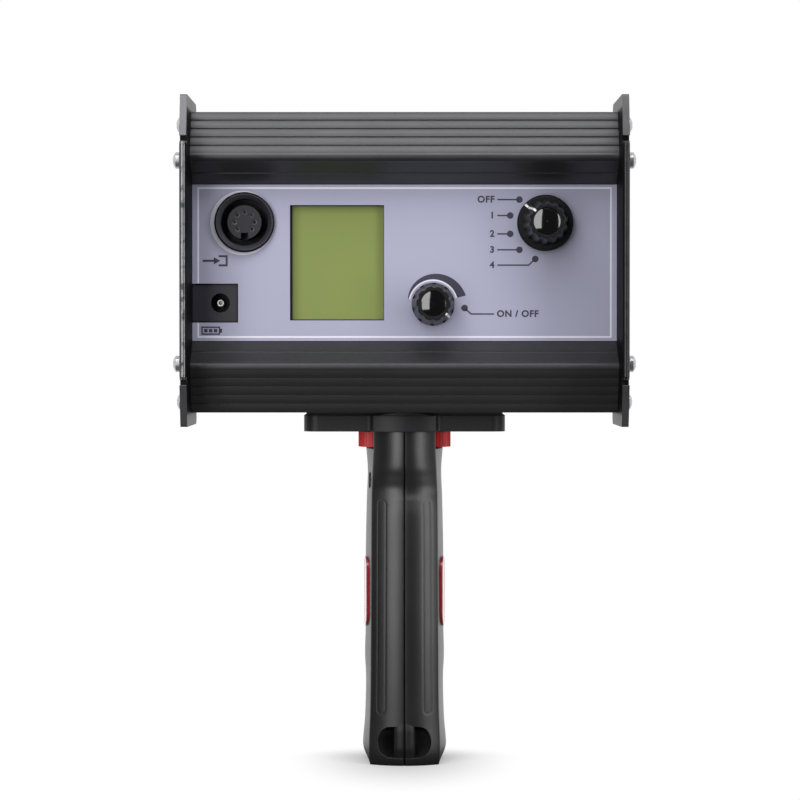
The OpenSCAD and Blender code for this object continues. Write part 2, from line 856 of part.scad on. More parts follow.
module board_chips()
    color("#1a1a1c") {
        for (c = [[0.31, 0.41, 0.11, 0.105], [0.12, -0.12, 0.09, 0.053], [0.5, -0.62, 0.11, 0.044]])
            block(board_left + board_w * (c[0] - c[2] / 2), board_left + board_w * (c[0] + c[2] / 2),
                board_y + board_t, board_y + 2 * board_t,
                board_half_h * c[1] - board_w * c[3] / 2, board_half_h * c[1] + board_w * c[3] / 2);
    }

module board_standoffs()
    color("#c0c0c3")
        for (p = standoff_places)
            difference() {
                translate([p[0], panel_back, housing_z + p[1]])
                    rotate([-90, 0, 0])
                        cylinder(d = standoff_flats / cos(30), h = switch_deep, $fn = 6);
                bar_y(p[0], p[1], screw_d, board_y - switch_deep * 0.6, board_y + 1);
            }

module board_screws()
    color("#c9c9cc")
        for (p = standoff_places)
            translate([p[0], board_y + board_t, housing_z + p[1]])
                rotate([-90, 0, 0])
                    pan_screw(switch_deep / 2);

driver_half_w = half_len * 0.78;
driver_top = guide_z + guide_t + board_t;
store_d = (cavity_top - driver_top) * 0.71;
store_len = driver_half_w * 0.38;
store_pitch = driver_half_w * 0.52;

module driver_board()
    color("#27502f")
        block(-driver_half_w, driver_half_w, -inner_y, inner_y, driver_top - board_t, driver_top);

module storage_capacitors()
    color("#3b4660")
        for (i = [-1 : 1])
            bar_x(0, housing_z + driver_top + store_d / 2, store_d,
                i * store_pitch - store_len / 2, i * store_pitch + store_len / 2);

tray_half_w = half_len - tray_gap;

module battery_tray()
    color("#2d2d30")
        difference() {
            block(-tray_half_w, tray_half_w, -inner_y + guide_w + 0.2, inner_y - guide_w - 0.2,
                tray_z, tray_z + tray_t + cell_d * 0.55);
            block(tray_wall - tray_half_w, tray_half_w - tray_wall, -inner_y, inner_y,
                tray_z + tray_t, tray_z + tray_t + cell_d);
        }

module battery_cells()
    color("#3f6f9c")
        for (x = [-cell_len - cell_gap / 2, cell_gap / 2], y = [-1, 1])
            bar_x(y * (cell_d / 2 + cell_gap / 12), housing_z + tray_z + tray_t + cell_d / 2, cell_d,
                x, x + cell_len);

stack_screw_places = [for (x = [-1, 1], z = [-1, 1])
    [led_at + x * (stack_half_w - stack_rim / 2), z * (stack_half_h - stack_rim * 2 / 3)]];
laser_d = 9;
laser_hole_d = laser_d * 2 / 3;

module stack_holes(y0, y1)
    for (p = stack_screw_places)
        bar_y(p[0], p[1], screw_d, y0, y1);

module front_bezel()
    color("#262628")
        difference() {
            along_y(window_y, panel_y)
                difference() {
                    square([profile_len, 2 * groove_z], center = true);
                    translate([led_at, 0])
                        rounded(opening_w, opening_h, 4);
                    translate([laser_at, 0])
                        circle(d = laser_hole_d);
                }
            stack_holes(window_y - 1, window_y + panel_t - 0.6);
        }

module led_stack_slab(y0, y1)
    difference() {
        block(led_at - stack_half_w, led_at + stack_half_w, y0, y1, -stack_half_h, stack_half_h);
        stack_holes(y0 - 1, y1 + 1);
    }

led_places = [for (i = [0 : led_cols - 1], j = [0 : led_rows - 1])
    [led_at + (i - (led_cols - 1) / 2) * led_step, (j - (led_rows - 1) / 2) * led_pitch]];
cup_d = min(led_step, led_pitch) - 1.4;

module front_window()
    color("#dfe8ee")
        led_stack_slab(reflector_y, window_y);

module reflector_array()
    color("#d9d9dc")
        difference() {
            led_stack_slab(led_board_y, reflector_y);
            for (p = led_places)
                cone_y(p[0], p[1], cup_d * 0.445, cup_d, led_board_y - 0.01, reflector_y + 0.01);
        }

module led_board()
    color("#e8e8e4")
        led_stack_slab(sink_y, led_board_y);

module led_emitters()
    color("#f3efc8")
        for (p = led_places) {
            block(p[0] - 1.7, p[0] + 1.7, led_board_y, led_board_y + 0.8, p[1] - 1.7, p[1] + 1.7);
            intersection() {
                translate([p[0], led_board_y + 0.8, housing_z + p[1]])
                    sphere(1.4);
                block(p[0] - 2, p[0] + 2, led_board_y + 0.4, led_board_y + 4, p[1] - 2, p[1] + 2);
            }
        }

fin_in = stack_rim + 2;
fin_t = 1.6;
fin_pitch = stack_half_h / 4.25;

module heat_sink()
    color("#a9a9ad")
        difference() {
            union() {
                block(led_at - stack_half_w, led_at + stack_half_w, sink_y - sink_t, sink_y,
                    -stack_half_h, stack_half_h);
                for (i = [-3 : 3])
                    block(led_at - stack_half_w + fin_in, led_at + stack_half_w - fin_in,
                        sink_y - sink_t - fin_h, sink_y - sink_t + 0.5,
                        i * fin_pitch - fin_t / 2, i * fin_pitch + fin_t / 2);
            }
            stack_holes(sink_y - sink_t - 1, sink_y + 1);
        }

module stack_screws()
    color("#c9c9cc")
        for (p = stack_screw_places)
            translate([p[0], sink_y - sink_t, housing_z + p[1]])
                rotate([90, 0, 0])
                    pan_screw(window_y - sink_y + sink_t + 1);

module laser_module()
    color("#c9a860")
        difference() {
            bar_y(laser_at, 0, laser_d, window_y - laser_d * 2.2, window_y);
            bar_y(laser_at, 0, laser_d * 0.44, window_y - laser_d, window_y + 1);
        }

module laser_lens()
    color("#c33b3b")
        bar_y(laser_at, 0, laser_hole_d, window_y, window_y + panel_t * 0.6);

module tripod_bush()
    color("#b9b9bc")
        difference() {
            union() {
                translate([0, 0, housing_floor])
                    cylinder(d = bush_d, h = bush_top);
                translate([0, 0, housing_floor + profile_wall])
                    cylinder(d = bush_d * 1.6, h = (bush_top - profile_wall) / 2);
            }
            translate([0, 0, housing_floor - 1])
                cylinder(d = clamp_d + 2 * run_gap, h = bush_top + 2);
        }

platform_round = 5;
fillet_r = 2;
boss_bow = 2.2;
boss_half_d = platform_d / 2 + fillet_r + boss_bow + 0.3;
boss_bow_r = (neck_w * neck_w / 4 + boss_bow * boss_bow) / (2 * boss_bow);
pad_half_d = platform_d / 2 - platform_round / 6;
hump_h = pad_t - 0.1;
hump_half_w = neck_w / 2 - 1;
hump_r = (hump_half_w * hump_half_w + hump_h * hump_h) / (2 * hump_h);

// bowed end of the boss on +Y, from a depth outwards
module boss_outline(from, inset)
    intersection() {
        translate([inset - neck_w / 2, from])
            square([neck_w - 2 * inset, boss_half_d - from]);
        translate([0, boss_half_d - inset - boss_bow_r])
            circle(boss_bow_r, $fn = 180);
    }

// platform outline seen from above, with the bowed boss across its middle
module platform_outline() {
    rounded(platform_w, platform_d, platform_round);
    for (s = [0, 1])
        mirror([0, s]) {
            boss_outline(0, 0);
            for (x = [-1, 1])
                translate([x * neck_w / 2, platform_d / 2])
                    difference() {
                        translate([x * fillet_r / 2, 0])
                            square([fillet_r, 2 * fillet_r], center = true);
                        translate([x * fillet_r, fillet_r])
                            circle(fillet_r);
                    }
        }
}

// the boss rises in its middle, beside the pad
module boss_hump()
    intersection() {
        translate([0, 0, platform_top - 0.5])
            linear_extrude(hump_h + 1)
                boss_outline(pad_half_d + 0.3, 0.2);
        translate([0, 0, platform_top + hump_h - hump_r])
            rotate([-90, 0, 0])
                cylinder(r = hump_r, h = boss_half_d + 1, $fn = 360);
    }

wheel_gap = 0.8;
platform_screw_places = [for (x = [-1, 1], y = [-1, 1])
    [x * neck_w * 0.18, y * (neck_half_d * 0.45 + (wheel_d / 2 + wheel_gap) * 0.55)]];

platform_screw_len = 12;
platform_screw_seat = platform_top - head_h - 0.2;

module handle_platform()
    color("#2c2c2e")
        difference() {
            union() {
                translate([0, 0, platform_z])
                    linear_extrude(platform_t)
                        platform_outline();
                for (s = [0, 1])
                    mirror([0, s, 0])
                        boss_hump();
            }
            translate([0, 0, platform_z - 1])
                cylinder(d = clamp_d + 2 * run_gap, h = platform_t + 2);
            for (p = platform_screw_places)
                translate([p[0], p[1], platform_z]) {
                    translate([0, 0, -1])
                        cylinder(d = screw_d + 2 * screw_gap, h = platform_t + 2);
                    translate([0, 0, platform_t - head_h - 0.2])
                        cylinder(d = head_d + 0.4, h = head_h + 3);
                }
        }

module platform_pad()
    color("#1e1e20")
        translate([0, 0, platform_top])
            linear_extrude(pad_t)
                difference() {
                    rounded(platform_w - platform_round / 3, 2 * pad_half_d, platform_round * 0.9);
                    circle(d = clamp_d + 2);
                }

module platform_screws()
    color("#c9c9cc")
        for (p = platform_screw_places)
            translate([p[0], p[1], platform_screw_seat])
                pan_screw(platform_screw_len);

// knurled rim: pointed ribs on a round wheel
function rib_ring(n, r, deep) = [for (i = [0 : 2 * n - 1])
    (r - deep * (i % 2)) * [cos(180 * i / n), sin(180 * i / n)]];

module clamp_wheel()
    color("#b23239")
        translate([0, 0, wheel_z])
            difference() {
                linear_extrude(wheel_h)
                    polygon(rib_ring(wheel_ribs, wheel_d / 2, 0.75));
                translate([0, 0, -1])
                    cylinder(d = clamp_d, h = wheel_h + 2);
            }

module clamp_screw()
    color("#c9c9cc")
        translate([0, 0, shoulder_z - stub_len])
            cylinder(d = clamp_d, h = clamp_tip - shoulder_z + stub_len);

// smooth curve through [height, value] points
function span(z, p, i = 0) = i >= len(p) - 2 || z < p[i + 1][0] ? i : span(z, p, i + 1);
function slope_at(p, i) =
    let (a = p[max(i - 1, 0)], b = p[min(i + 1, len(p) - 1)]) (b[1] - a[1]) / (b[0] - a[0]);
function curve(z, p) =
    let (i = span(z, p), h = p[i + 1][0] - p[i][0], t = (z - p[i][0]) / h, t2 = t * t, t3 = t2 * t)
        (2 * t3 - 3 * t2 + 1) * p[i][1] + (t3 - 2 * t2 + t) * h * slope_at(p, i)
        + (3 * t2 - 2 * t3) * p[i + 1][1] + (t3 - t2) * h * slope_at(p, i + 1);

// grip outlines over its height, as [share of the height, millimetres]
grip_width = [[0, 12.6], [0.012, 14], [0.043, 14.9], [0.13, 14.2], [0.2, 13.9], [0.27, 13.8],
    [0.34, 14.15], [0.42, 13.95], [0.65, 13.9], [0.84, 13.5], [0.93, 13.15], [1, 13.7]];
grip_crease = [[0, 11], [0.043, 12.5], [0.2, 12.05], [0.55, 11.8], [0.85, 11.6], [0.93, 11.3], [1, 10.9]];
grip_rear = [[0, 20.5], [0.012, 22.6], [0.04, 23.8], [0.13, 22.8], [0.27, 22.2], [0.5, 24], [0.68, 23.6],
    [0.82, 22.3], [0.865, 20.6], [0.9, 18.9], [0.94, 20.6], [0.97, 22.2], [1, 22.5]];
grip_front = [[0, 20], [0.012, 21.6], [0.04, 22.5], [0.14, 19.6], [0.25, 21.6], [0.36, 19.2], [0.47, 21.6],
    [0.58, 19.2], [0.69, 21.8], [0.8, 19.6], [0.92, 22], [1, 22.5]];
// width and depth of the grip against the photographed neck
grip_kx = grip_fat * neck_w / 22.2;
grip_ky = neck_half_d / 22.5;
inlay_from = 0.163;
inlay_to = 0.84;
inlay_deep = 0.6;
seam_deep = 0.35;
// sections: close together at the foot and at the ends of the inlays
grip_steps = concat([0, 0.005, 0.012, 0.025], [for (i = [1 : 39]) i / 39 * 0.975 + 0.025],
    [inlay_from - 0.006, inlay_to + 0.006]);
function sorted(v) = len(v) < 2 ? v : let (p = v[0])
    concat(sorted([for (x = v) if (x < p) x]), [p], sorted([for (x = v) if (x > p) x]));
grip_z = sorted(grip_steps);
// shares of the crease width where the rear face has points
rear_shares = [0.03, 0.15, 0.3, 0.44, 0.55, 0.58, 0.68, 0.78, 0.81, 0.9, 1];

function in_inlay(s, f) = s > 0.56 && s < 0.8 && f > inlay_from && f < inlay_to ? inlay_deep : 0;

// outline of the +X half of the grip at one share of its height, from the rear seam to the front seam
function grip_section(f) =
    let (
        w = curve(f, grip_width) * grip_kx,
        c = curve(f, grip_crease) * grip_kx,
        yr = -curve(f, grip_rear) * grip_ky,
        yf = curve(f, grip_front) * grip_ky,
        ym = -1.5 * grip_ky,
        bow = 4 * grip_ky
    )
        concat(
            [[0, yr + seam_deep]],
            [for (s = rear_shares) [s * c, yr + bow * s * s + in_inlay(s, f)]],
            [for (u = [0.2, 0.45, 0.7, 1])
                [c + (w - c) * sin(90 * u), yr + bow + (ym - yr - bow) * u]],
            [for (v = [12 : 13 : 77])
                [w * pow(cos(v), 0.75), ym + (yf - ym) * pow(sin(v), 0.9)]],
            [[0.4, yf], [0, yf - seam_deep]]
        );

// the shoulder's section goes on up to the platform
grip_loops = concat(
    [for (f = grip_z) [for (p = grip_section(f)) [p[0], p[1], f * shoulder_z]]],
    [[for (p = grip_section(1)) [p[0], p[1], platform_z]]]
);
loop_n = len(grip_loops[0]);
loop_count = len(grip_loops);

// closed half of the grip: stacked sections, flat on the seam
module grip_blank()
    polyhedron(
        points = [for (l = grip_loops, p = l) p],
        faces = concat(
            [[for (k = [0 : loop_n - 1]) k]],
            [[for (k = [loop_n - 1 : -1 : 0]) (loop_count - 1) * loop_n + k]],
            [for (j = [0 : loop_count - 2], k = [0 : loop_n - 1], t = [0, 1])
                let (a = j * loop_n + k, b = j * loop_n + (k + 1) % loop_n)
                    t == 0 ? [a, b + loop_n, b] : [a, a + loop_n, b + loop_n]]
        )
    );

cavity_x = 9.6 * grip_kx;
cavity_rear = -15.5 * grip_ky;
cavity_front = 14 * grip_ky;
grip_boss_d = 8;
// screws stand in bosses that run into the wall beside them
rear_screw_y = cavity_rear + grip_boss_d / 2 - 0.6;
front_screw_y = cavity_front - grip_boss_d / 2 + 0.6;
grip_screw_places = [[rear_screw_y, shoulder_z * 0.9], [front_screw_y, shoulder_z * 0.85],
    [0, shoulder_z * 0.19], [front_screw_y, shoulder_z * 0.53]];

// hollow of one half, leaving bosses round the screws
module grip_hollow()
    difference() {
        translate([-0.01, cavity_rear, shoulder_z * 0.22])
            cube([cavity_x, cavity_front - cavity_rear, shoulder_z * 0.7]);
        for (p = grip_screw_places)
            bar_x(p[0], p[1], grip_boss_d, -1, cavity_x + 1);
    }

badge_h = shoulder_z * 0.224;
badge_w = badge_h * 0.44;
badge_t = 0.9;
badge_tilt = 5;
badge_place = [13.05 * grip_kx, -10 * grip_ky, shoulder_z * 0.545];

// oval badge lying on the +X flank
module badge()
    translate(badge_place)
        rotate([0, 0, -badge_tilt])
            rotate([90, 0, 90])
                linear_extrude(badge_t)
                    stadium(badge_w, badge_h);

// recess of the strap lug, with the bar left standing across it
lug_floor = -14.5 * grip_ky;
lug_bar_back = -19.5 * grip_ky;
lug_bar_r = lug_bar * 0.62;
lug_arch_back = -25 * grip_ky;
lug_arch_r = 14;

module lug_recess()
    translate([0, lug_floor, lug_z])
        rotate([90, 0, 0])
            linear_extrude(neck_half_d)
                stadium(lug_w, lug_h);

// half of the arched bar across the recess, with a rounded back
module lug_loop()
    intersection() {
        translate([0, lug_arch_back - 1, lug_z - lug_h * 0.6])
            cube([lug_bar / 2, lug_bar_back - lug_arch_back + 1, lug_h * 1.3]);
        translate([0, lug_arch_back + lug_bar_r, lug_z - lug_h])
            cylinder(r = lug_bar_r, h = 2 * lug_h);
        bar_x(lug_arch_back + lug_arch_r, lug_z + lug_h / 12, 2 * lug_arch_r, -1, lug_bar);
    }

// one half of the grip, on +X
module grip_half()
    union() {
        difference() {
            grip_blank();
            // bay of the clamping wheel
            translate([-1, -wheel_d / 2 - wheel_gap, shoulder_z])
                cube([neck_w, wheel_d + 2 * wheel_gap, neck_h + 1]);
            grip_hollow();
            lug_recess();
            badge();
            // stub of the clamping screw
            translate([0, 0, shoulder_z - stub_len - 0.7])
                cylinder(d = clamp_d + 2 * run_gap, h = stub_len + 2);
            for (p = platform_screw_places)
                translate([p[0], p[1], platform_screw_seat - platform_screw_len - 0.1])
                    cylinder(d = screw_d, h = platform_screw_len);
            for (p = grip_screw_places)
                bar_x(p[0], p[1], screw_d, -1, cavity_x - 1.2);
        }
        lug_loop();
    }

module grip_right()
    color("#2e2e30")
        grip_half();

module grip_left()
    color("#2e2e30")
        difference() {
            mirror([1, 0, 0])
                grip_half();
            // screw holes go right through, with counterbores for the heads
            for (p = grip_screw_places) {
                bar_x(p[0], p[1], screw_d + 2 * screw_gap, -20, 1);
                bar_x(p[0], p[1], head_d + 0.3, -20, -cavity_x - 0.4);
            }
        }

module grip_screws()
    color("#c9c9cc")
        for (p = grip_screw_places)
            translate([-cavity_x - 0.4, p[0], p[1]])
                rotate([0, -90, 0])
                    pan_screw(2 * cavity_x - 1.6);

module grip_badges()
    color("#a32638")
        for (s = [0, 1])
            mirror([s, 0, 0])
                badge();

top_profile();
bottom_profile();
left_side_plate();
right_side_plate();
plate_screws();
plate_washers();
control_panel();
panel_foil();
lcd_glass();
lcd_board();
lcd_header();
input_shell();
input_insert();
input_contacts();
input_nut();
charge_jack();
charge_pin();
mode_switch();
mode_nut();
mode_shaft();
mode_knob();
mode_cap();
mode_pointer();
encoder_body();
encoder_nut();
encoder_plunger();
encoder_shaft();
encoder_knob();
encoder_cap();
encoder_pointer();
control_board();
board_chips();
board_standoffs();
board_screws();
driver_board();
storage_capacitors();
battery_tray();
battery_cells();
front_bezel();
front_window();
reflector_array();
led_board();
led_emitters();
heat_sink();
stack_screws();
laser_module();
laser_lens();
tripod_bush();
handle_platform();
platform_pad();
platform_screws();
clamp_wheel();
clamp_screw();
grip_left();
grip_right();
grip_screws();
grip_badges();
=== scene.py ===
"""Looks of a hand-held LED stroboscope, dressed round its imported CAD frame."""

import math

import bmesh
import bpy
from bpy.props import FloatProperty, FloatVectorProperty, IntProperty, PointerProperty
from bpy.types import NodeSocket, Operator, Panel, PropertyGroup
from mathutils import Matrix, Vector


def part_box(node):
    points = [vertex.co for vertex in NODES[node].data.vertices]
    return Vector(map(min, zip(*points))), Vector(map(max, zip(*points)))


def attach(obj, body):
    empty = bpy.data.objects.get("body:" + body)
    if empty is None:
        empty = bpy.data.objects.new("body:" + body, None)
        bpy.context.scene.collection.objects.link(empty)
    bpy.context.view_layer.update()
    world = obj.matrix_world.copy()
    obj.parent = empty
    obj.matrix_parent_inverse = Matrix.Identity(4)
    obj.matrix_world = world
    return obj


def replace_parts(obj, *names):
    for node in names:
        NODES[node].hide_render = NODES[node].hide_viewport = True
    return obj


bl_info = {
    "name": "Hand Stroboscope Looks",
    "version": (1, 0, 0),
    "blender": (4, 5, 0),
    "location": "View3D > Sidebar > Stroboscope",
    "description": "Finishes, printing and moulded shells of a hand-held LED stroboscope",
    "category": "Object",
}

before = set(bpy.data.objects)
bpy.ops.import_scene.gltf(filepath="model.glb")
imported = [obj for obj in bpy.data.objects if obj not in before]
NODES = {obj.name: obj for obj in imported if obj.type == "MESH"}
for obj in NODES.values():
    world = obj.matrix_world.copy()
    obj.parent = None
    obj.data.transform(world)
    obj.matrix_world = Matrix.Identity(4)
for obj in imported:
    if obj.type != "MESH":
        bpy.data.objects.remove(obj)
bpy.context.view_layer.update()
MM = 0.001
HOUSING = "housing"


# Properties


def linear(code):
    """Linear colour of a six-digit screen colour."""
    parts = [int(code[i : i + 2], 16) / 255 for i in (0, 2, 4)]
    return tuple(c / 12.92 if c <= 0.04045 else ((c + 0.055) / 1.055) ** 2.4 for c in parts)


def colour_prop(label, note, code):
    return FloatVectorProperty(
        name=label, description=note, default=linear(code), subtype="COLOR", size=3, min=0.0, max=1.0
    )


def length_prop(label, note, millimetres):
    return FloatProperty(
        name=label, description=note, default=millimetres * MM, min=0.0, unit="LENGTH", precision=5
    )


def angle_prop(label, note, degrees):
    return FloatProperty(name=label, description=note, default=math.radians(degrees), subtype="ANGLE")


def power_prop(label, note, watts):
    return FloatProperty(name=label, description=note, default=watts, min=0.0, unit="POWER")


class StrobeColours(PropertyGroup):
    """Colours of the stroboscope's finishes."""

    anodised: colour_prop("Profiles", "Black anodised extrusions", "545456")
    plate: colour_prop("Side plates", "Black coated faces of the side plates", "121214")
    plate_edge: colour_prop("Plate edges", "Brushed edges of the side plates", "6c6c70")
    bare_metal: colour_prop("Bare metal", "Metal showing on rubbed edges", "8c8c90")
    foil: colour_prop("Foil", "Lavender-grey face foil", "adadc5")
    print_dark: colour_prop("Dark print", "Legends, dots and lines", "3c3a4c")
    # The light print also makes the painted highlight ring beside the input socket
    print_light: colour_prop("Light print", "Frame line and rings", "eeecf8")
    display: colour_prop("Display", "Reflective display glass", "8b9858")
    knob: colour_prop("Knobs", "Black moulded knobs", "0e0e11")
    cap: colour_prop("Knob caps", "Gloss black caps", "060608")
    pointer: colour_prop("Pointers", "White filled lines", "f0f0ee")
    socket: colour_prop("Sockets", "Black socket mouldings", "34343d")
    steel: colour_prop("Steel", "Plated screws and nuts", "c4c4c8")
    brass: colour_prop("Brass", "Plated body of the pointer light", "c8b27a")
    # The rubber black also makes the display's frame of painted shade
    rubber: colour_prop("Rubber", "Pad under the housing and display gasket", "1c1c1e")
    wheel: colour_prop("Wheel", "Red clamping wheel", "ff444a")
    badge: colour_prop("Badge", "Red oval badges", "b4222f")
    grip: colour_prop("Grip", "Black grip moulding", "161618")
    board: colour_prop("Boards", "Green circuit boards", "1f5a34")
    dust: colour_prop("Dust", "Pale dust on upper faces", "9a9790")


class StrobePrint(PropertyGroup):
    """Sizes of the printing on the face foil."""

    ink: length_prop("Ink height", "Height of the print over the foil", 0.03)
    line: length_prop("Leader width", "Width of the leader lines", 0.5)
    frame_line: length_prop("Frame line", "Width of the light frame line", 0.6)
    frame_in: length_prop("Frame inset", "Frame line from the foil's ends", 2.05)
    frame_top: length_prop("Frame top", "Frame line from the foil's upper edge", 1.2)
    frame_foot: length_prop("Frame foot", "Frame line from the foil's lower edge", 1.36)
    dot: length_prop("Dot", "Diameter of the dial dots", 2.3)
    dial_ring: length_prop("Dial radius", "Dots from the selector's axis", 12.4)
    letter: length_prop("Letter size", "Size of the legends", 3.15)


class StrobeGrip(PropertyGroup):
    """Make of the moulded grip shells."""

    rows: IntProperty(name="Rows", description="Sections up one grip shell", default=150, min=40)
    inlay: length_prop("Inlay depth", "Depth of the long inlays", 0.085)
    seam: length_prop("Seam depth", "Depth of the parting groove", 0.9)


class StrobeStage(PropertyGroup):
    """Camera and light."""

    distance: length_prop("Camera distance", "Camera to the housing's middle", 1055.0)
    eye: length_prop("Camera height", "Camera over the table", 146.3)
    focal_px: FloatProperty(name="Focal length", description="In pixels of the 800 frame", default=2943.0)
    pitch: angle_prop("Pitch", "Camera tilt down", 0.973)
    yaw: angle_prop("Yaw", "Camera turn left", 0.088)
    ambient: FloatProperty(name="Ambient", description="Even studio light", default=0.22, min=0.0)
    key: power_prop("Key", "Left softbox", 6.6)
    top: power_prop("Top", "Overhead softbox", 7.8)
    fill: power_prop("Fill", "Right softbox", 5.2)


# Node wiring


class Wiring:
    """Places and links the nodes of one tree."""

    def __init__(self, tree):
        self.tree = tree

    def add(self, kind, inputs=None, **settings):
        made = self.tree.nodes.new("ShaderNode" + kind)
        for name, value in settings.items():
            setattr(made, name, value)
        self.feed(made, inputs or {})
        return made

    def feed(self, made, inputs):
        """Links sockets and sets plain values, by input name or index."""
        for name, value in inputs.items():
            if isinstance(value, NodeSocket):
                self.tree.links.new(value, made.inputs[name])
            else:
                made.inputs[name].default_value = value

    def group(self, name, **inputs):
        """Result of a shared effect."""
        return self.add("Group", inputs, node_tree=shared_effect(name)).outputs[0]

    def math(self, operation, *values, clamp=False):
        return self.add("Math", dict(enumerate(values)), operation=operation, use_clamp=clamp).outputs[0]

    def times(self, value, *others, clamp=False):
        for other in others:
            value = self.math("MULTIPLY", value, other, clamp=clamp)
        return value

    def vector(self, operation, *values):
        return self.add("VectorMath", dict(enumerate(values)), operation=operation).outputs

    def span(self, value, low, high, to_low=0.0, to_high=1.0, smooth=False):
        """Value between two bounds, put between two others."""
        bounds = {"From Min": low, "From Max": high, "To Min": to_low, "To Max": to_high}
        kind = "SMOOTHSTEP" if smooth else "LINEAR"
        return self.add("MapRange", {"Value": value, **bounds}, interpolation_type=kind).outputs["Result"]

    def blend(self, share, first, second):
        return self.add("Mix", {0: share, 6: first, 7: second}, data_type="RGBA").outputs[2]

    def split(self, vector):
        return self.add("SeparateXYZ", {0: vector}).outputs

    def place(self):
        return self.add("TexCoord").outputs["Object"]

    def facing(self):
        return self.add("NewGeometry").outputs["Normal"]

    def reach(self, keep, middle=(0, 0, 0)):
        """Distance from an axis; keep is 0 along the axis and 1 across it."""
        flat = self.vector("MULTIPLY", self.place(), keep)["Vector"]
        return self.vector("DISTANCE", flat, middle)["Value"]

    def noise(self, scale, detail=2.0, vector=None, roughness=0.5):
        inputs = {"Scale": scale, "Detail": detail, "Roughness": roughness}
        return self.add("TexNoise", {"Vector": vector or self.place(), **inputs}).outputs["Fac"]

    def rounded(self, radius):
        """Normal with the edges rounded off."""
        return self.add("Bevel", {"Radius": radius}, samples=4).outputs[0]

    def relief(self, height, depth, normal=None):
        """Normal with a fine relief."""
        made = self.add("Bump", {"Height": height, "Distance": depth})
        if normal is not None:
            self.feed(made, {"Normal": normal})
        return made.outputs[0]


# Shared effects


def tone_drift(w, given):
    """Slow change of tone over a surface."""
    drift = w.span(w.noise(given["Scale"], 4.0), 0.3, 0.7)
    swing = w.times(w.math("SUBTRACT", drift, 0.5), given["Amount"])
    value = w.math("ADD", swing, 1.0)
    return w.add("HueSaturation", {"Color": given["Color"], "Value": value}).outputs["Color"]


def edge_rub(w, given):
    """Lighter rubbed line along hard edges, broken up by noise."""
    turn = w.vector("DOT_PRODUCT", w.rounded(given["Width"]), w.facing())["Value"]
    edge = w.span(turn, 0.985, 0.86, smooth=True)
    broken = w.span(w.noise(420.0, 3.0), 0.35, 0.62)
    mask = w.times(edge, broken, given["Amount"], clamp=True)
    return w.blend(mask, given["Color"], given["Rub"])


def settled_dust(w, given):
    """Fine dust on faces that look up."""
    lying = w.span(w.split(w.facing())["Z"], 0.2, 1.0, smooth=True)
    specks = w.span(w.noise(900.0, 5.0, roughness=0.7), 0.45, 0.75)
    mask = w.times(lying, specks, given["Amount"], clamp=True)
    return w.blend(mask, given["Color"], given["Dust"])


def handling_gloss(w, given):
    """Roughness that drifts as touched surfaces do."""
    swing = w.times(w.math("SUBTRACT", w.noise(75.0, 4.0), 0.5), given["Spread"])
    return w.math("ADD", swing, given["Roughness"], clamp=True)


def moulded_grain(w, given):
    """Spark-eroded grain of moulded plastic and coatings."""
    cells = {"Vector": w.place(), "Scale": given["Scale"], "Smoothness": 0.6}
    coarse = w.add("TexVoronoi", cells, feature="SMOOTH_F1").outputs["Distance"]
    fine = w.noise(w.times(given["Scale"], 2.3))
    return w.math("ADD", w.times(coarse, 0.6), w.times(fine, 0.4))


def drawn_lines(w, given):
    """Long fine lines left by a die, a lathe or a brush."""
    stretched = w.vector("MULTIPLY", w.place(), given["Stretch"])["Vector"]
    return w.noise(given["Scale"], 3.0, stretched, 0.65)


FLOAT, COLOUR, VECTOR = "NodeSocketFloat", "NodeSocketColor", "NodeSocketVector"
KINDS = {"Color": COLOUR, "Rub": COLOUR, "Dust": COLOUR, "Stretch": VECTOR}
GREY, PALE = (0.5, 0.5, 0.5, 1), (0.6, 0.6, 0.6, 1)
# Builder, inputs with their defaults, and result of each effect
EFFECTS = {
    "Tone Drift": (tone_drift, {"Color": GREY, "Amount": 0.1, "Scale": 40.0}, "Color"),
    "Edge Rub": (edge_rub, {"Color": GREY, "Rub": PALE, "Width": 0.0003, "Amount": 0.5}, "Color"),
    "Settled Dust": (settled_dust, {"Color": GREY, "Dust": PALE, "Amount": 0.1}, "Color"),
    "Handling Gloss": (handling_gloss, {"Roughness": 0.4, "Spread": 0.1}, "Roughness"),
    "Moulded Grain": (moulded_grain, {"Scale": 2500.0}, "Height"),
    "Drawn Lines": (drawn_lines, {"Scale": 900.0, "Stretch": (0.02, 1.0, 1.0)}, "Height"),
}


def shared_effect(name):
    """The node group of one shared effect, built at its first use."""
    found = bpy.data.node_groups.get(name)
    if found:
        return found
    build, inputs, result = EFFECTS[name]
    tree = bpy.data.node_groups.new(name, "ShaderNodeTree")
    for label, value in inputs.items():
        socket = tree.interface.new_socket(label, in_out="INPUT", socket_type=KINDS.get(label, FLOAT))
        socket.default_value = value
    tree.interface.new_socket(result, in_out="OUTPUT", socket_type=KINDS.get(result, FLOAT))
    w = Wiring(tree)
    given = tree.nodes.new("NodeGroupInput").outputs
    put = tree.nodes.new("NodeGroupOutput")
    w.feed(put, {result: build(w, given)})
    return tree


# Finishes


def rgba(colour):
    return (*colour, 1.0)


def dimmed(colour, share):
    return [share * part for part in colour]


def blank(name):
    """A new material with its wiring and its shader."""
    made = bpy.data.materials.new(name)
    made.use_nodes = True
    return made, Wiring(made.node_tree), made.node_tree.nodes["Principled BSDF"]


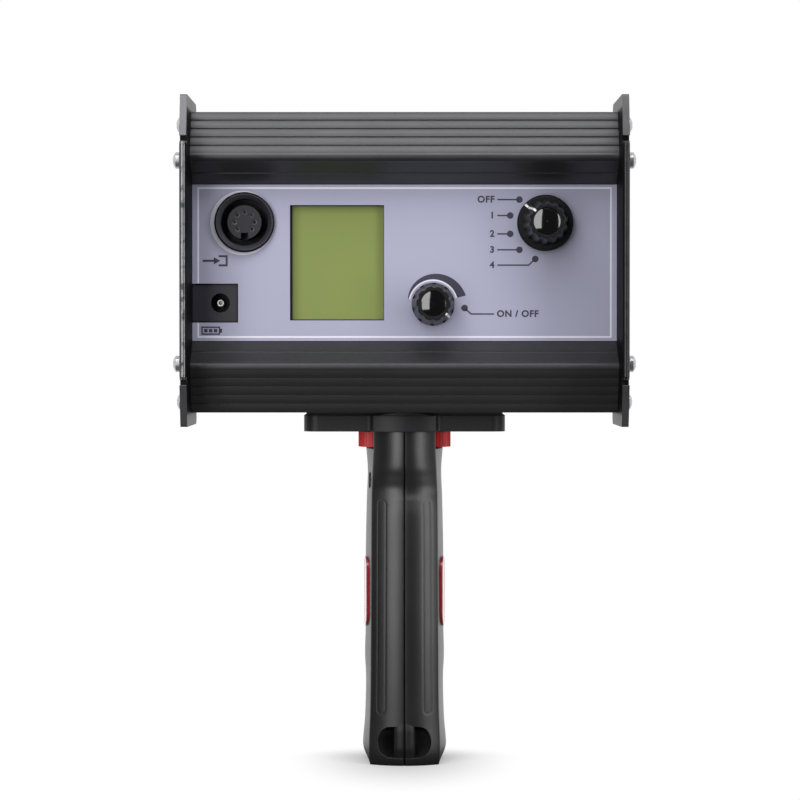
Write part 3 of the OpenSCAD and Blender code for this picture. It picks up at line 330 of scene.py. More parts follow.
def coat(
    w, shader, tone, rough, spread=0.08, drift=0.12, drift_scale=55.0, rub=None, rub_width=0.3,
    rub_amount=0.5, dust=None, dust_amount=0.0, grain=0.0, grain_scale=2600.0, lines=0.0,
    stretch=(0.02, 1.0, 1.0), line_scale=900.0, soft=0.15, more=None,
):
    """Feeds a shader with drifting tone and gloss, rubbed edges, dust, drawn lines and grain.

    rub_width, grain, lines and soft are in millimetres. more holds further shader inputs.
    """
    if drift:
        tone = w.group("Tone Drift", Color=tone, Amount=drift, Scale=drift_scale)
    if rub is not None:
        rubbed = {"Rub": rgba(rub), "Width": rub_width * MM, "Amount": rub_amount}
        tone = w.group("Edge Rub", Color=tone, **rubbed)
    if dust is not None:
        tone = w.group("Settled Dust", Color=tone, Dust=rgba(dust), Amount=dust_amount)
    gloss = w.group("Handling Gloss", Roughness=rough, Spread=spread)
    w.feed(shader, {"Base Color": tone, "Roughness": gloss})
    normal = w.rounded(soft * MM) if soft else None
    if lines:
        height = w.group("Drawn Lines", Scale=line_scale, Stretch=stretch)
        normal = w.relief(height, lines * MM, normal)
    if grain:
        height = w.group("Moulded Grain", Scale=grain_scale)
        normal = w.relief(height, grain * MM, normal)
    if normal is not None:
        w.feed(shader, {"Normal": normal})
    w.feed(shader, more or {})


def coated(name, colour, rough, **make):
    """A finish of one colour."""
    made, w, shader = blank(name)
    coat(w, shader, rgba(colour), rough, **make)
    return made


# Display: dot pitch in millimetres, gap as a share of it, and the reach of the painted shade on its left in
# millimetres
DISPLAY_DOT, DISPLAY_GAP, DISPLAY_PAINTED_SHADE = 0.52, 0.12, (2.4, 6.5)


def display_finish(c):
    """Reflective display: fine dot matrix under a smooth polariser, with the panel's shade painted on its
    left.
    """
    made, w, shader = blank("Display Glass")
    place = w.split(w.place())
    dots = []
    for axis in ("X", "Z"):
        step = w.math("FRACT", w.times(place[axis], 1 / (DISPLAY_DOT * MM)))
        dots.append(w.math("GREATER_THAN", step, DISPLAY_GAP))
    gap = w.times(w.math("SUBTRACT", 1.0, w.times(*dots)), 0.07)
    tone = w.group("Tone Drift", Color=rgba(c.display), Amount=0.05, Scale=30.0)
    tone = w.blend(gap, tone, rgba(linear("5d6a34")))
    # Painted shade: the glass darkens to olive towards its left edge
    near, far = (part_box("lcd_glass")[0].x + reach * MM for reach in DISPLAY_PAINTED_SHADE)
    shade = w.span(place["X"], near, far, 0.34, 0.0, smooth=True)
    tone = w.blend(shade, tone, rgba(linear("2c3218")))
    polariser = {"Specular IOR Level": 0.4, "Coat Weight": 0.6, "Coat Roughness": 0.06}
    coat(w, shader, tone, 0.22, drift=0, soft=0, more=polariser)
    return made


def board_finish(name, colour, track, scale):
    """Circuit board: solder mask over a maze of tracks."""
    made, w, shader = blank(name)
    black, white = (0, 0, 0, 1), (1, 1, 1, 1)
    maze = {"Scale": scale, "Mortar Size": 0.012, "Color1": black, "Color2": black, "Mortar": white}
    tracks = w.add("TexBrick", {"Vector": w.place(), **maze}).outputs["Color"]
    tone = w.group("Tone Drift", Color=rgba(colour), Amount=0.2, Scale=90.0)
    tone = w.blend(tracks, tone, rgba(track))
    raised = {"Normal": w.relief(tracks, 0.04 * MM)}
    coat(w, shader, tone, 0.35, spread=0.12, drift=0, soft=0, more=raised)
    return made


# Side plate masks in millimetres: heights from the panel's middle, and the slots' reach in depth; the inner
# faces over the panel and the faces in the slots take painted shade
RECESS_PAINTED_SHADE, SLOT_LEVEL, SLOT_HALF, GUARD_HALF = (53.4, 51.6), 41.6, 1.0, 40.5
SLOT_REACH = 52.0


def plate_finish(c):
    """Side plate: matt black coat on its faces, brushed and rubbed along its edges, with painted shade on its
    inner faces over the panel and in its slots.
    """
    made, w, shader = blank("Side Plate Coat")
    looks, place = w.split(w.facing()), w.split(w.place())
    low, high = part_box("control_panel")
    off = w.math("ABSOLUTE", w.math("SUBTRACT", place["Z"], (low.z + high.z) / 2))
    # Painted shade: inner faces over the panel's middle fade to near black
    inward = w.math("LESS_THAN", w.times(looks["X"], place["X"]), -0.05)
    recess = w.times(inward, w.span(off, *(z * MM for z in RECESS_PAINTED_SHADE), smooth=True))
    edge = w.span(w.math("ABSOLUTE", looks["X"]), 0.8, 0.35, smooth=True)
    # Painted shade: faces inside the slots go near black as well
    across = w.math("LESS_THAN", w.math("ABSOLUTE", place["Y"]), SLOT_REACH * MM)
    slot = w.times(edge, across, w.math("COMPARE", off, SLOT_LEVEL * MM, SLOT_HALF * MM))
    edge = w.math("SUBTRACT", edge, slot, clamp=True)
    recess = w.math("MAXIMUM", recess, slot)
    guard = w.math("LESS_THAN", off, GUARD_HALF * MM)
    # The guard edge is bare metal on the left plate and dark grey on the right
    left_plate_side = w.math("LESS_THAN", place["X"], 0.0)
    bead = w.blend(left_plate_side, rgba(linear("26262a")), rgba(c.bare_metal))
    tone = w.blend(edge, rgba(c.plate), w.blend(guard, rgba(c.plate_edge), bead))
    chips = w.times(edge, guard, w.span(w.noise(340.0, 4.0), 0.5, 0.6), 0.85)
    tone = w.blend(chips, tone, rgba(c.plate))
    # Near black where the painted shade lies
    tone = w.blend(recess, tone, (0.004, 0.004, 0.0045, 1))
    coat(
        w, shader, tone, w.span(edge, 0.0, 1.0, 0.46, 0.3), spread=0.14, drift=0.4, drift_scale=45.0,
        rub=c.bare_metal, rub_amount=0.3, dust=c.dust, dust_amount=0.06, grain=0.012,
        grain_scale=1700.0, soft=0.3,
        more={
            "Metallic": w.times(edge, 0.85),
            "Coat Weight": w.span(recess, 0.0, 1.0, 1.0, 0.3),
            "Specular IOR Level": 0.0,
            "Coat Roughness": 0.42,
        },
    )
    return made


# Painted shade in the knurl, from its floor to its crest, in millimetres in from the wheel's rim
KNURL_PAINTED_SHADE = (0.72, 0.1)


def wheel_finish(c):
    """Red moulding with painted shade down in the knurl."""
    made, w, shader = blank("Red Wheel")
    low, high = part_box("clamp_wheel")
    near, far = ((high.x - low.x) / 2 - depth * MM for depth in KNURL_PAINTED_SHADE)
    crest = w.span(w.reach((1, 1, 0)), near, far, smooth=True)
    tone = w.group("Tone Drift", Color=rgba(c.wheel), Amount=0.14, Scale=55.0)
    # Painted shade: darker red down at the knurl's floor
    tone = w.blend(crest, rgba(linear("c8282f")), tone)
    coat(
        w, shader, tone, 0.34, spread=0.1, drift=0, grain=0.01, soft=0, more={"Specular IOR Level": 0.3}
    )
    return made


# Painted shade bands of the socket ring, with a painted highlight band between them, in millimetres in from
# its rim
RIM_PAINTED_SHADE, BORE_PAINTED_SHADE = 0.9, (3.4, 1.6)


def ring_finish():
    """Turned socket ring, with painted shade at its rim and towards its bore and a painted highlight band
    between.
    """
    made, w, shader = blank("Socket Ring")
    low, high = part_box("input_shell")
    reach = w.reach((1, 0, 1), ((low.x + high.x) / 2, 0, (low.z + high.z) / 2))
    rim = (high.x - low.x) / 2
    outside = w.span(reach, rim, rim - RIM_PAINTED_SHADE * MM, smooth=True)
    inside = w.span(reach, *(rim - depth * MM for depth in BORE_PAINTED_SHADE), smooth=True)
    # Painted highlight and shade: lighter grey across the ring's middle, near black at its rim and towards
    # its bore
    tone = w.blend(w.times(outside, inside), rgba(linear("17171c")), rgba(linear("47474f")))
    coat(
        w, shader, tone, 0.26, spread=0.1, drift=0.15, drift_scale=70.0, lines=0.008,
        stretch=(1.0, 0.05, 1.0), line_scale=2400.0, soft=0.3, more={"Metallic": 0.5},
    )
    return made


# Painted shade line of the jack in millimetres: rounding of its corners, and its inner edge's fade
JACK_CORNER, JACK_SHADE_LINE = 0.8, (0.25, 0.85)
MOULDED = {"Specular IOR Level": 0.45}


def jack_finish(c):
    """Jack moulding with a painted shade line along the top, right and bottom of its face."""
    made, w, shader = blank("Jack Moulding")
    low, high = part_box("charge_jack")
    place = w.split(w.place())
    near = w.math("SUBTRACT", high.x, place["X"])
    for gap in (w.math("SUBTRACT", place["Z"], low.z), w.math("SUBTRACT", high.z, place["Z"])):
        near = w.math("SMOOTH_MIN", near, gap, JACK_CORNER * MM)
    face = w.span(near, *(depth * MM for depth in JACK_SHADE_LINE), smooth=True)
    # Painted shade: near black along the face's edges, where the panel's cutout shades it
    tone = w.blend(face, rgba(linear("0f0f15")), rgba(c.socket))
    coat(w, shader, tone, 0.42, drift_scale=60.0, grain=0.012, soft=0.3, more=MOULDED)
    return made


def anodised_finish(name, colour, rough, c):
    """Black anodised extrusion with die lines along its length."""
    return coated(
        name, colour, rough, spread=0.1, drift=0.14, drift_scale=24.0, rub=c.bare_metal,
        rub_amount=0.03, dust=c.dust, dust_amount=0.05, lines=0.02, stretch=(0.012, 1.0, 1.0),
        line_scale=1500.0, soft=0.08, more={"Metallic": 0.8},
    )


def steel_finish(name, colour, rough=0.34, metallic=0.8):
    """Turned and plated metal."""
    return coated(
        name, colour, rough, spread=0.14, drift=0.1, drift_scale=300.0, lines=0.01,
        stretch=(1.0, 1.0, 1.0), line_scale=3500.0, soft=0.2, more={"Metallic": metallic},
    )


def finishes(c):
    """Every finish of the stroboscope, made once."""
    ink = {"drift_scale": 160.0, "soft": 0.01}
    return {
        "anodised": anodised_finish("Black Anodised", c.anodised, 0.38, c),
        # Painted shade: the lower profile gets a darker, rougher copy of the anodised finish
        "anodised_painted_shade": anodised_finish("Black Anodised Lower", dimmed(c.anodised, 0.8), 0.5, c),
        "plate": plate_finish(c),
        "panel": coated("Panel Sheet", linear("1d1d21"), 0.5, grain=0.01),
        "foil": coated(
            "Face Foil", c.foil, 0.5, spread=0.06, drift=0.03, drift_scale=18.0, grain=0.012,
            grain_scale=5200.0, soft=0.05, more={"Specular IOR Level": 0.35},
        ),
        "print_dark": coated("Dark Ink", c.print_dark, 0.55, drift=0.1, **ink),
        "print_light": coated("Light Ink", c.print_light, 0.5, drift=0.04, **ink),
        "display": display_finish(c),
        "socket_ring": ring_finish(),
        "jack": jack_finish(c),
        "socket": coated(
            "Socket Moulding", dimmed(c.socket, 0.55), 0.42, grain=0.012, soft=0.3, more=MOULDED
        ),
        "contact": steel_finish("Socket Contact", linear("9a9a9e"), 0.25, 0.5),
        "steel": steel_finish("Plated Steel", c.steel),
        "bright": coated(
            "Bright Pin", linear("f4f4f5"), 0.3, spread=0.1, drift=0.05, drift_scale=300.0, soft=0.1,
            more={"Metallic": 0.35},
        ),
        "brass": steel_finish("Plated Brass", c.brass, 0.22),
        "knob": coated(
            "Knob Moulding", c.knob, 0.36, spread=0.12, drift=0.15, rub=linear("4a4a4e"),
            rub_amount=0.35, rub_width=0.25, dust=c.dust, dust_amount=0.06, grain=0.008, soft=0.25,
            more=MOULDED,
        ),
        "cap": coated(
            "Gloss Cap", c.cap, 0.08, spread=0.05, drift=0.1, soft=0.2,
            more={
                "Specular IOR Level": 0.5, "Coat Weight": 1.0, "Coat IOR": 1.75, "Coat Roughness": 0.085
            },
        ),
        "pointer": coated("White Filling", c.pointer, 0.5, drift=0.05, drift_scale=400.0, soft=0.1),
        "switch": coated("Switch Body", linear("4c4c50"), 0.4, grain=0.02, soft=0.3),
        "ivory": coated("Ivory Moulding", linear("d8d2bf"), 0.45, grain=0.01, soft=0.2),
        "board": board_finish("Circuit Board", c.board, linear("3b8a52"), 160.0),
        "led_board": board_finish("White Board", linear("dcdcd6"), linear("b9b9b2"), 120.0),
        "chip": coated("Chip Moulding", linear("18181a"), 0.6, grain=0.02, grain_scale=4000.0),
        "sleeve": coated("Capacitor Sleeve", linear("27345c"), 0.3, drift=0.1),
        "cell": coated("Cell Sleeve", linear("2f6aa0"), 0.28, drift=0.08),
        "tray": coated("Tray Moulding", linear("202022"), 0.5, grain=0.02),
        "window": coated(
            "Clear Window", (0.97, 0.99, 1.0), 0.03, spread=0.04, drift=0.02, drift_scale=25.0, soft=0,
            more={"Transmission Weight": 1.0, "IOR": 1.49},
        ),
        "reflector": coated(
            "Metallised Reflector", linear("e2e4e8"), 0.07, spread=0.05, drift=0.05, soft=0.2,
            more={"Metallic": 1.0},
        ),
        "emitter": coated("Phosphor Dome", linear("efe28a"), 0.2, drift_scale=600.0),
        "sink": coated("Bare Aluminium", linear("a9a9ad"), 0.38, lines=0.02, more={"Metallic": 1.0}),
        "lens": coated("Red Lens", linear("8a1418"), 0.05, spread=0.03, more={"Coat Weight": 0.8}),
        "platform": coated(
            "Platform Casting", linear("1f1f22"), 0.47, spread=0.12, rub=c.bare_metal, rub_amount=0.1,
            dust=c.dust, dust_amount=0.08, grain=0.035, grain_scale=1500.0, soft=0.5, more=MOULDED,
        ),
        "rubber": coated("Pad Rubber", c.rubber, 0.75, dust=c.dust, dust_amount=0.2, grain=0.03),
        "wheel": wheel_finish(c),
        "badge": coated(
            "Badge Enamel", c.badge, 0.25, drift=0.06, soft=0.2,
            more={"Coat Weight": 1.0, "Coat Roughness": 0.04},
        ),
        "badge_rim": coated("Badge Rim", linear("e6e4e6"), 0.16, drift=0.05, soft=0.1),
        "grip": coated(
            "Grip Moulding", c.grip, 0.35, spread=0.1, rub=linear("5a5a5e"), rub_amount=0.06,
            rub_width=0.4, dust=c.dust, dust_amount=0.05, grain=0.01, grain_scale=2100.0, soft=0.2,
            more={"Specular IOR Level": 0.85},
        ),
        "lug": coated(
            "Lug Moulding", c.grip, 0.48, spread=0.1, dust=c.dust, dust_amount=0.05, grain=0.008,
            grain_scale=2100.0, soft=0.2, more=MOULDED,
        ),
        "black_screw": coated(
            "Blacked Screw", linear("2c2c2f"), 0.5, drift=0.2, more={"Specular IOR Level": 0.1}
        ),
    }


FINISHES = {}


def wear(finish, *nodes):
    """Gives CAD nodes their finish."""
    for node in nodes:
        slots = NODES[node].data.materials
        slots.clear()
        slots.append(FINISHES[finish])


# Piece making


def stand(name, data):
    """Puts a mesh, curve, lamp or camera in the scene."""
    made = bpy.data.objects.new(name, data)
    bpy.context.scene.collection.objects.link(made)
    return made


def meshed(name, built):
    """Ends a bmesh as a mesh whose faces look outwards."""
    bmesh.ops.recalc_face_normals(built, faces=built.faces)
    mesh = bpy.data.meshes.new(name)
    built.to_mesh(mesh)
    built.free()
    return mesh


def piece(name, built, finish, smooth=None):
    """Turns a bmesh into a piece that rides on the housing; smooth is its sharpest soft angle."""
    mesh = meshed(name, built)
    if smooth is not None:
        mesh.shade_smooth()
        mesh.set_sharp_from_angle(angle=math.radians(smooth))
    made = stand(name, mesh)
    mesh.materials.append(FINISHES[finish])
    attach(made, HOUSING)
    return made


def skin(built, loops):
    """Quads between loops of corners, each with the next."""
    for low, high in zip(loops, loops[1:]):
        for i in range(len(low)):
            j = (i + 1) % len(low)
            built.faces.new((low[i], low[j], high[j], high[i]))


def loft(built, rows, matrix=None):
    """Closed skin over rows of points, with flat ends."""
    place = matrix or Matrix.Identity(4)
    loops = [[built.verts.new(place @ Vector(p)) for p in row] for row in rows]
    skin(built, loops)
    ends = [built.faces.new(loops[0][::-1]), built.faces.new(loops[-1])]
    bmesh.ops.triangulate(built, faces=ends)


def carve(built, cutters):
    """Cuts closed meshes out of a closed mesh."""
    blank_block = stand("blank", meshed("blank", built))
    cutter = stand("cutter", meshed("cutter", cutters))
    cut = blank_block.modifiers.new("cut", "BOOLEAN")
    cut.operation, cut.solver, cut.object = "DIFFERENCE", "EXACT", cutter
    bpy.context.view_layer.update()
    graph = bpy.context.evaluated_depsgraph_get()
    done = bpy.data.meshes.new_from_object(blank_block.evaluated_get(graph))
    carved = bmesh.new()
    carved.from_mesh(done)
    used = [blank_block.data, cutter.data, done]
    for holder in (blank_block, cutter):
        bpy.data.objects.remove(holder)
    for mesh in used:
        bpy.data.meshes.remove(mesh)
    return carved


def turned(centre, radius, degrees):
    """Point on a circle round a centre in a plane."""
    a = math.radians(degrees)
    return (centre[0] + radius * math.cos(a), centre[1] + radius * math.sin(a))


def moved(point, x, z):
    """An (x, z) point moved by millimetres."""
    return (point[0] + x * MM, point[1] + z * MM)


def stadium_loop(wide, tall, count=48):
    """Points of a round-ended slot; the longer size is the straight one."""
    r, half = min(wide, tall) / 2, abs(wide - tall) / 2
    loop = []
    for i in range(count):
        a = 2 * math.pi * (i + 0.5) / count
        x, z = r * math.cos(a), r * math.sin(a)
        loop.append((x + math.copysign(half, x), z) if wide > tall else (x, z + math.copysign(half, z)))
    return loop


class Layer:
    """A thin layer on the face, made of flat shapes of (x, z) points between two depths."""

    bold, letter_gap = 0.038, 1.12

    def __init__(self, front, back):
        self.built = bmesh.new()
        self.depths = (front, back)

    def rows(self, *loops):
        return [[self.built.verts.new((x, y, z)) for x, z in loop] for y in self.depths for loop in loops]

    def area(self, loop):
        front, back = self.rows(loop)
        self.built.faces.new(front)
        self.built.faces.new(back[::-1])
        skin(self.built, [front, back])

    def block(self, corner, wide, tall):
        """Upright rectangle from its lower left corner, in millimetres."""
        self.area([corner, moved(corner, wide, 0), moved(corner, wide, tall), moved(corner, 0, tall)])

    def disc(self, centre, radius, count=32):
        self.area([turned(centre, radius, 360 * i / count) for i in range(count)])

    def strip(self, left, right, closed=False):
        """Band between two rows of points."""
        count = len(left)
        fl, fr, bl, br = self.rows(left, right)
        face = self.built.faces.new
        for i in range(count if closed else count - 1):
            j = (i + 1) % count
            face((fl[i], fl[j], fr[j], fr[i]))
            face((bl[i], br[i], br[j], bl[j]))
            face((fl[i], bl[i], bl[j], fl[j]))
            face((fr[i], fr[j], br[j], br[i]))
        if not closed:
            for i in (0, count - 1):
                face((fl[i], fr[i], br[i], bl[i]))

    def arc(self, centre, inner, outer, angles, closed=False):
        """Band round a centre; inner and outer are a radius for each angle."""
        sides = [[turned(centre, r, a) for r, a in zip(radii, angles)] for radii in (inner, outer)]
        self.strip(*sides, closed=closed)

    def line(self, points, width):
        """Band of even width along points, mitred at the bends."""
        left, right = [], []
        for i, p in enumerate(points):
            before = Vector(p) - Vector(points[i - 1]) if i else None
            after = Vector(points[i + 1]) - Vector(p) if i + 1 < len(points) else None
            along = [v.normalized() for v in (before, after) if v is not None]
            mean = sum(along, Vector((0, 0))).normalized()
            across = Vector((-mean.y, mean.x))
            reach = width / 2 / max(0.3, across.dot(Vector((-along[0].y, along[0].x))))
            left.append(tuple(Vector(p) + across * reach))
            right.append(tuple(Vector(p) - across * reach))
        self.strip(left, right)

    def words(self, text, place, height, align):
        """Upright lettering that faces the control side."""
        front, back = self.depths
        curve = bpy.data.curves.new("letters", "FONT")
        curve.body = text
        curve.size = height
        curve.align_x = align
        curve.align_y = "CENTER"
        curve.offset = height * self.bold
        curve.space_character = self.letter_gap
        curve.extrude = (back - front) / 2
        holder = stand("letters", curve)
        bpy.context.view_layer.update()
        graph = bpy.context.evaluated_depsgraph_get()
        mesh = bpy.data.meshes.new_from_object(holder.evaluated_get(graph))
        upright = Matrix.Translation((place[0], (front + back) / 2, place[1]))
        mesh.transform(upright @ Matrix.Rotation(math.pi / 2, 4, "X"))
        self.built.from_mesh(mesh)
        bpy.data.objects.remove(holder)
        bpy.data.curves.remove(curve)
        bpy.data.meshes.remove(mesh)


def middle_of(node):
    """Middle of a CAD node as an (x, z) point."""
    low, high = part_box(node)
    return ((low.x + high.x) / 2, (low.z + high.z) / 2)


# Grip moulding: outlines over its height as (share of the height, millimetres)

GRIP_WIDTH = (
    (0, 12.6), (0.012, 13.3), (0.03, 14.35), (0.047, 14.85), (0.07, 14.8), (0.13, 14.2), (0.2, 13.9),
    (0.27, 13.8), (0.34, 14.15), (0.42, 13.95), (0.65, 13.9), (0.84, 13.5), (0.93, 13.15), (1, 13.7),
)
GRIP_CREASE = (
    (0, 12.1), (0.02, 12.35), (0.06, 12.5), (0.2, 12.05), (0.55, 11.8), (0.85, 11.6), (0.93, 11.3),
    (1, 10.9),
)
GRIP_REAR = (
    (0, 22.1), (0.012, 23.1), (0.04, 23.6), (0.13, 23.3), (0.27, 23.3), (0.5, 23.8), (0.66, 23.6),
    (0.79, 22.8), (0.835, 21.6), (0.868, 20.5), (0.908, 21.3), (0.938, 22.1), (0.97, 22.4), (1, 22.5),
)
GRIP_FRONT = (
    (0, 20), (0.012, 21.6), (0.04, 22.5), (0.14, 19.6), (0.25, 21.6), (0.36, 19.2),
    (0.47, 21.6), (0.58, 19.2), (0.69, 21.8), (0.8, 19.6), (0.92, 22), (1, 22.5),
)
GRIP_BOW = ((0, 4), (0.8, 4), (0.87, 4.1), (0.95, 5), (1, 5))
GRIP_MIDDLE = -1.5
# Rows up the foot, as shares of the height
FOOT_ROWS = (0.002, 0.005, 0.009, 0.013, 0.018, 0.024, 0.03, 0.037)
# Rows at an inlay's end: spacing in millimetres and places; and the least share between two rows
END_STEP, END_ROWS, LEAST_STEP = 0.18, range(-3, 12), 0.0009
# Points across the back, as shares of the crease
BACK_SHARES = (
    0.045, 0.07, 0.12, 0.18, 0.25, 0.32, 0.39, 0.46, 0.51, *(0.54 + 0.0085 * i for i in range(5)),
    0.6, 0.64, 0.68, 0.72, 0.76, *(0.78 + 0.0085 * i for i in range(6)), 0.86, 0.9, 0.94,
)
# Parting groove as (half width, share of its depth), and its lips as (half width, depth)
REAR_GROOVE, REAR_LIP = ((0, 1), (0.12, 0.95), (0.22, 0.55)), (0.32, 0.03)
FRONT_GROOVE, FRONT_LIP = ((0.12, 0.4), (0, 0.45)), (0.26, 0.03)
# Corner from the back into the flank, the flank itself, and the rounded front
CORNER_ENDS, CORNER_STEPS, FLANK_STEPS = (0.965, 0.03), 5, 12
FRONT_STEPS, FRONT_TURN, FRONT_SPACING, FRONT_ROUND = 23, 89.2, 0.9, (0.75, 0.9)
# Long inlays: ends as shares of the height, sides as shares of the crease, groove and edge
INLAY_ENDS, INLAY_SHARES, INLAY_GROOVE = (0.163, 0.84), (0.56, 0.8), 0.22
INLAY_EDGE, FLOOR_SHARE, GROOVE_SHARE = (-0.1, 0.25), 0.45, 0.75
# Strap recess: wall as (depth, share of the width, share of the height), and the bar across it
LUG_MIDDLE, LUG_WIDE, LUG_TALL, LUG_FLOOR = 8.4, 20.8, 10.6, -14.5
RECESS_WALL = (
    (LUG_FLOOR, 0.3, 0.4), (-15, 0.38, 0.56), (-16, 0.47, 0.72), (-17.2, 0.57, 0.83),
    (-18.4, 0.67, 0.9), (-19.6, 0.77, 0.945), (-20.8, 0.87, 0.975), (-21.8, 0.95, 0.995),
    (-22.6, 1.005, 1.02), (-23.2, 1.045, 1.055), (-23.8, 1.11, 1.12), (-26, 1.4, 1.4),
)
ARCH_PROUD, ARCH_TALL, ARCH_FRONT, ARCH_WIDE, ARCH_ROUND = 0.85, 13.4, -19.5, 7.5, 2.4
ARCH_SINK, ARCH_SEAM, ARCH_STEPS, ARCH_RISE, ARCH_POWERS = 0.12, 0.26, 48, 0.6, (0.8, 0.75)
# Wheel bay and screw mouths
WHEEL_GAP, BAY_GAP, BAY_REACH = 0.4, 0.8, (-2, 40)
MOUTH_GAP, MOUTH_FLARE, MOUTH_DEPTHS = 0.15, 1.12, (10, 12.9, 13.6, 20)
# Badges
BADGE_PLACE, BADGE_SIZE, BADGE_TILT, BADGE_THICK = (13.05, -10.0, 60.8), (11.0, 25.0), -5.0, 0.9
RIM_INSETS, RIM_FOOT, RIM_PROUD = (0.3, 1.9), 0.5, 0.04


def curve_at(share, points):
    """Smooth curve through (share, value) points."""
    last = len(points) - 1
    i = max(0, min(last - 1, sum(1 for p in points if p[0] <= share) - 1))

    def slope(k):
        a, b = points[max(k - 1, 0)], points[min(k + 1, last)]
        return (b[1] - a[1]) / (b[0] - a[0])

    h = points[i + 1][0] - points[i][0]
    t = (share - points[i][0]) / h
    return (
        (2 * t**3 - 3 * t**2 + 1) * points[i][1]
        + (t**3 - 2 * t**2 + t) * h * slope(i)
        + (3 * t**2 - 2 * t**3) * points[i + 1][1]
        + (t**3 - t**2) * h * slope(i + 1)
    )


def ease(value, low, high):
    t = max(0.0, min(1.0, (value - low) / (high - low)))
    return t * t * (3 - 2 * t)


def shoulder_height():
    """Height of the grip's shoulder under the clamping wheel."""
    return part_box("clamp_wheel")[0].z / MM - WHEEL_GAP


def inlay_depth(x, z, crease, tall, deep):
    """Sink of the long inlay, with a fine groove round its rounded outline."""
    middle = crease * sum(INLAY_SHARES) / 2
    radius = crease * (INLAY_SHARES[1] - INLAY_SHARES[0]) / 2
    low, high = (tall * e for e in INLAY_ENDS)
    near = max(low + radius, min(high - radius, z))
    out = math.hypot(x - middle, z - near) - radius
    groove = math.exp(-((out / INLAY_GROOVE) ** 2))
    return deep * (FLOOR_SHARE * ease(-out, *INLAY_EDGE) + GROOVE_SHARE * groove)


def grip_row(f, z, tall, deep, seam):
    """Outline of the +X half at one height, from the rear seam round to the front seam."""
    w, c = curve_at(f, GRIP_WIDTH), curve_at(f, GRIP_CREASE)
    rear, front, bow = -curve_at(f, GRIP_REAR), curve_at(f, GRIP_FRONT), curve_at(f, GRIP_BOW)

    def back(s):
        x = s * c
        return (x, rear + bow * s * s + inlay_depth(x, z, c, tall, deep))

    def flank(u):
        reach = GRIP_MIDDLE - rear - bow
        return (c + (w - c) * math.sin(math.pi / 2 * u), rear + bow + reach * u)

    row = [(x, rear + seam * share) for x, share in REAR_GROOVE]
    row.append((REAR_LIP[0], rear + REAR_LIP[1]))
    row += [back(s) for s in BACK_SHARES]
    leave, meet = CORNER_ENDS
    start, corner, end = back(leave), (c, rear + bow), flank(meet)
    for i in range(CORNER_STEPS + 1):
        t = i / CORNER_STEPS
        bend = ((1 - t) ** 2, 2 * t * (1 - t), t * t)
        row.append(tuple(sum(k * p for k, p in zip(bend, axis)) for axis in zip(start, corner, end)))
    row += [flank(meet + (1 - meet) * i / FLANK_STEPS) for i in range(1, FLANK_STEPS + 1)]
    side_power, front_power = FRONT_ROUND
    for i in range(1, FRONT_STEPS + 1):
        v = math.radians(FRONT_TURN * (i / FRONT_STEPS) ** FRONT_SPACING)
        y = GRIP_MIDDLE + (front - GRIP_MIDDLE) * math.sin(v) ** front_power
        row.append((w * math.cos(v) ** side_power, y))
    row.append((FRONT_LIP[0], front - FRONT_LIP[1]))
    return row + [(x, front - seam * share) for x, share in FRONT_GROOVE]


def grip_levels(count, tall):
    """Shares of the height for the rows, closer at the foot and at the inlays' ends."""
    levels = {i / count for i in range(count + 1)} | set(FOOT_ROWS)
    for end, inward in zip(INLAY_ENDS, (1, -1)):
        levels |= {end + inward * END_STEP * i / tall for i in END_ROWS}
    kept = []
    for f in sorted(levels):
        if not kept or f - kept[-1] > LEAST_STEP:
            kept.append(f)
    return kept


def grip_shell(g, side):
    """One moulded half with its wheel bay, strap recess and screw mouths."""
    wheel_low, wheel_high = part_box("clamp_wheel")
    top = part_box("grip_right")[1].z / MM
    shoulder = shoulder_height()
    rows = []
    for f in grip_levels(g.rows, shoulder):
        z = f * shoulder
        rows.append([(x, y, z) for x, y in grip_row(f, z, shoulder, g.inlay / MM, g.seam / MM)])
    rows += [[(x, y, z) for x, y, _ in rows[-1]] for z in (shoulder + 2, shoulder + 4, top)]
    scale = Matrix.Diagonal((side * MM, MM, MM, 1))
    shell, cutters = bmesh.new(), bmesh.new()
    loft(shell, rows, scale)
    bay = (wheel_high.x - wheel_low.x) / 2 / MM + BAY_GAP
    inner, outer = BAY_REACH
    corners = [(inner, -bay), (outer, -bay), (outer, bay), (inner, bay)]
    loft(cutters, [[(x, y, z) for x, y in corners] for z in (shoulder, top + 2)], scale)
    outline = stadium_loop(LUG_WIDE, LUG_TALL)
    recess = [[(x * wide, y, LUG_MIDDLE + z * tall) for x, z in outline] for y, wide, tall in RECESS_WALL]
    loft(cutters, recess, scale)
    if side < 0:
        for low, high in loose_boxes("grip_screws"):
            centre = ((low.y + high.y) / 2 / MM, (low.z + high.z) / 2 / MM)
            bore = (high.z - low.z) / 2 / MM + MOUTH_GAP
            radii = (bore, bore, bore * MOUTH_FLARE, bore * MOUTH_FLARE)
            mouth = [[(x, *turned(centre, r, 9 * i)) for i in range(40)] for x, r in zip(MOUTH_DEPTHS, radii)]
            loft(cutters, mouth, scale)
    return carve(shell, cutters)


def loose_boxes(node):
    """Boxes of a node's loose solids."""
    built = bmesh.new()
    built.from_mesh(NODES[node].data)
    bmesh.ops.remove_doubles(built, verts=built.verts, dist=0.001 * MM)
    left, boxes = set(built.verts), []
    while left:
        todo, seen = [left.pop()], []
        while todo:
            vert = todo.pop()
            seen.append(vert.co.copy())
            for edge in vert.link_edges:
                other = edge.other_vert(vert)
                if other in left:
                    left.remove(other)
                    todo.append(other)
        boxes.append(tuple(Vector(pick(v[i] for v in seen) for i in range(3)) for pick in (min, max)))
    built.free()
    return boxes


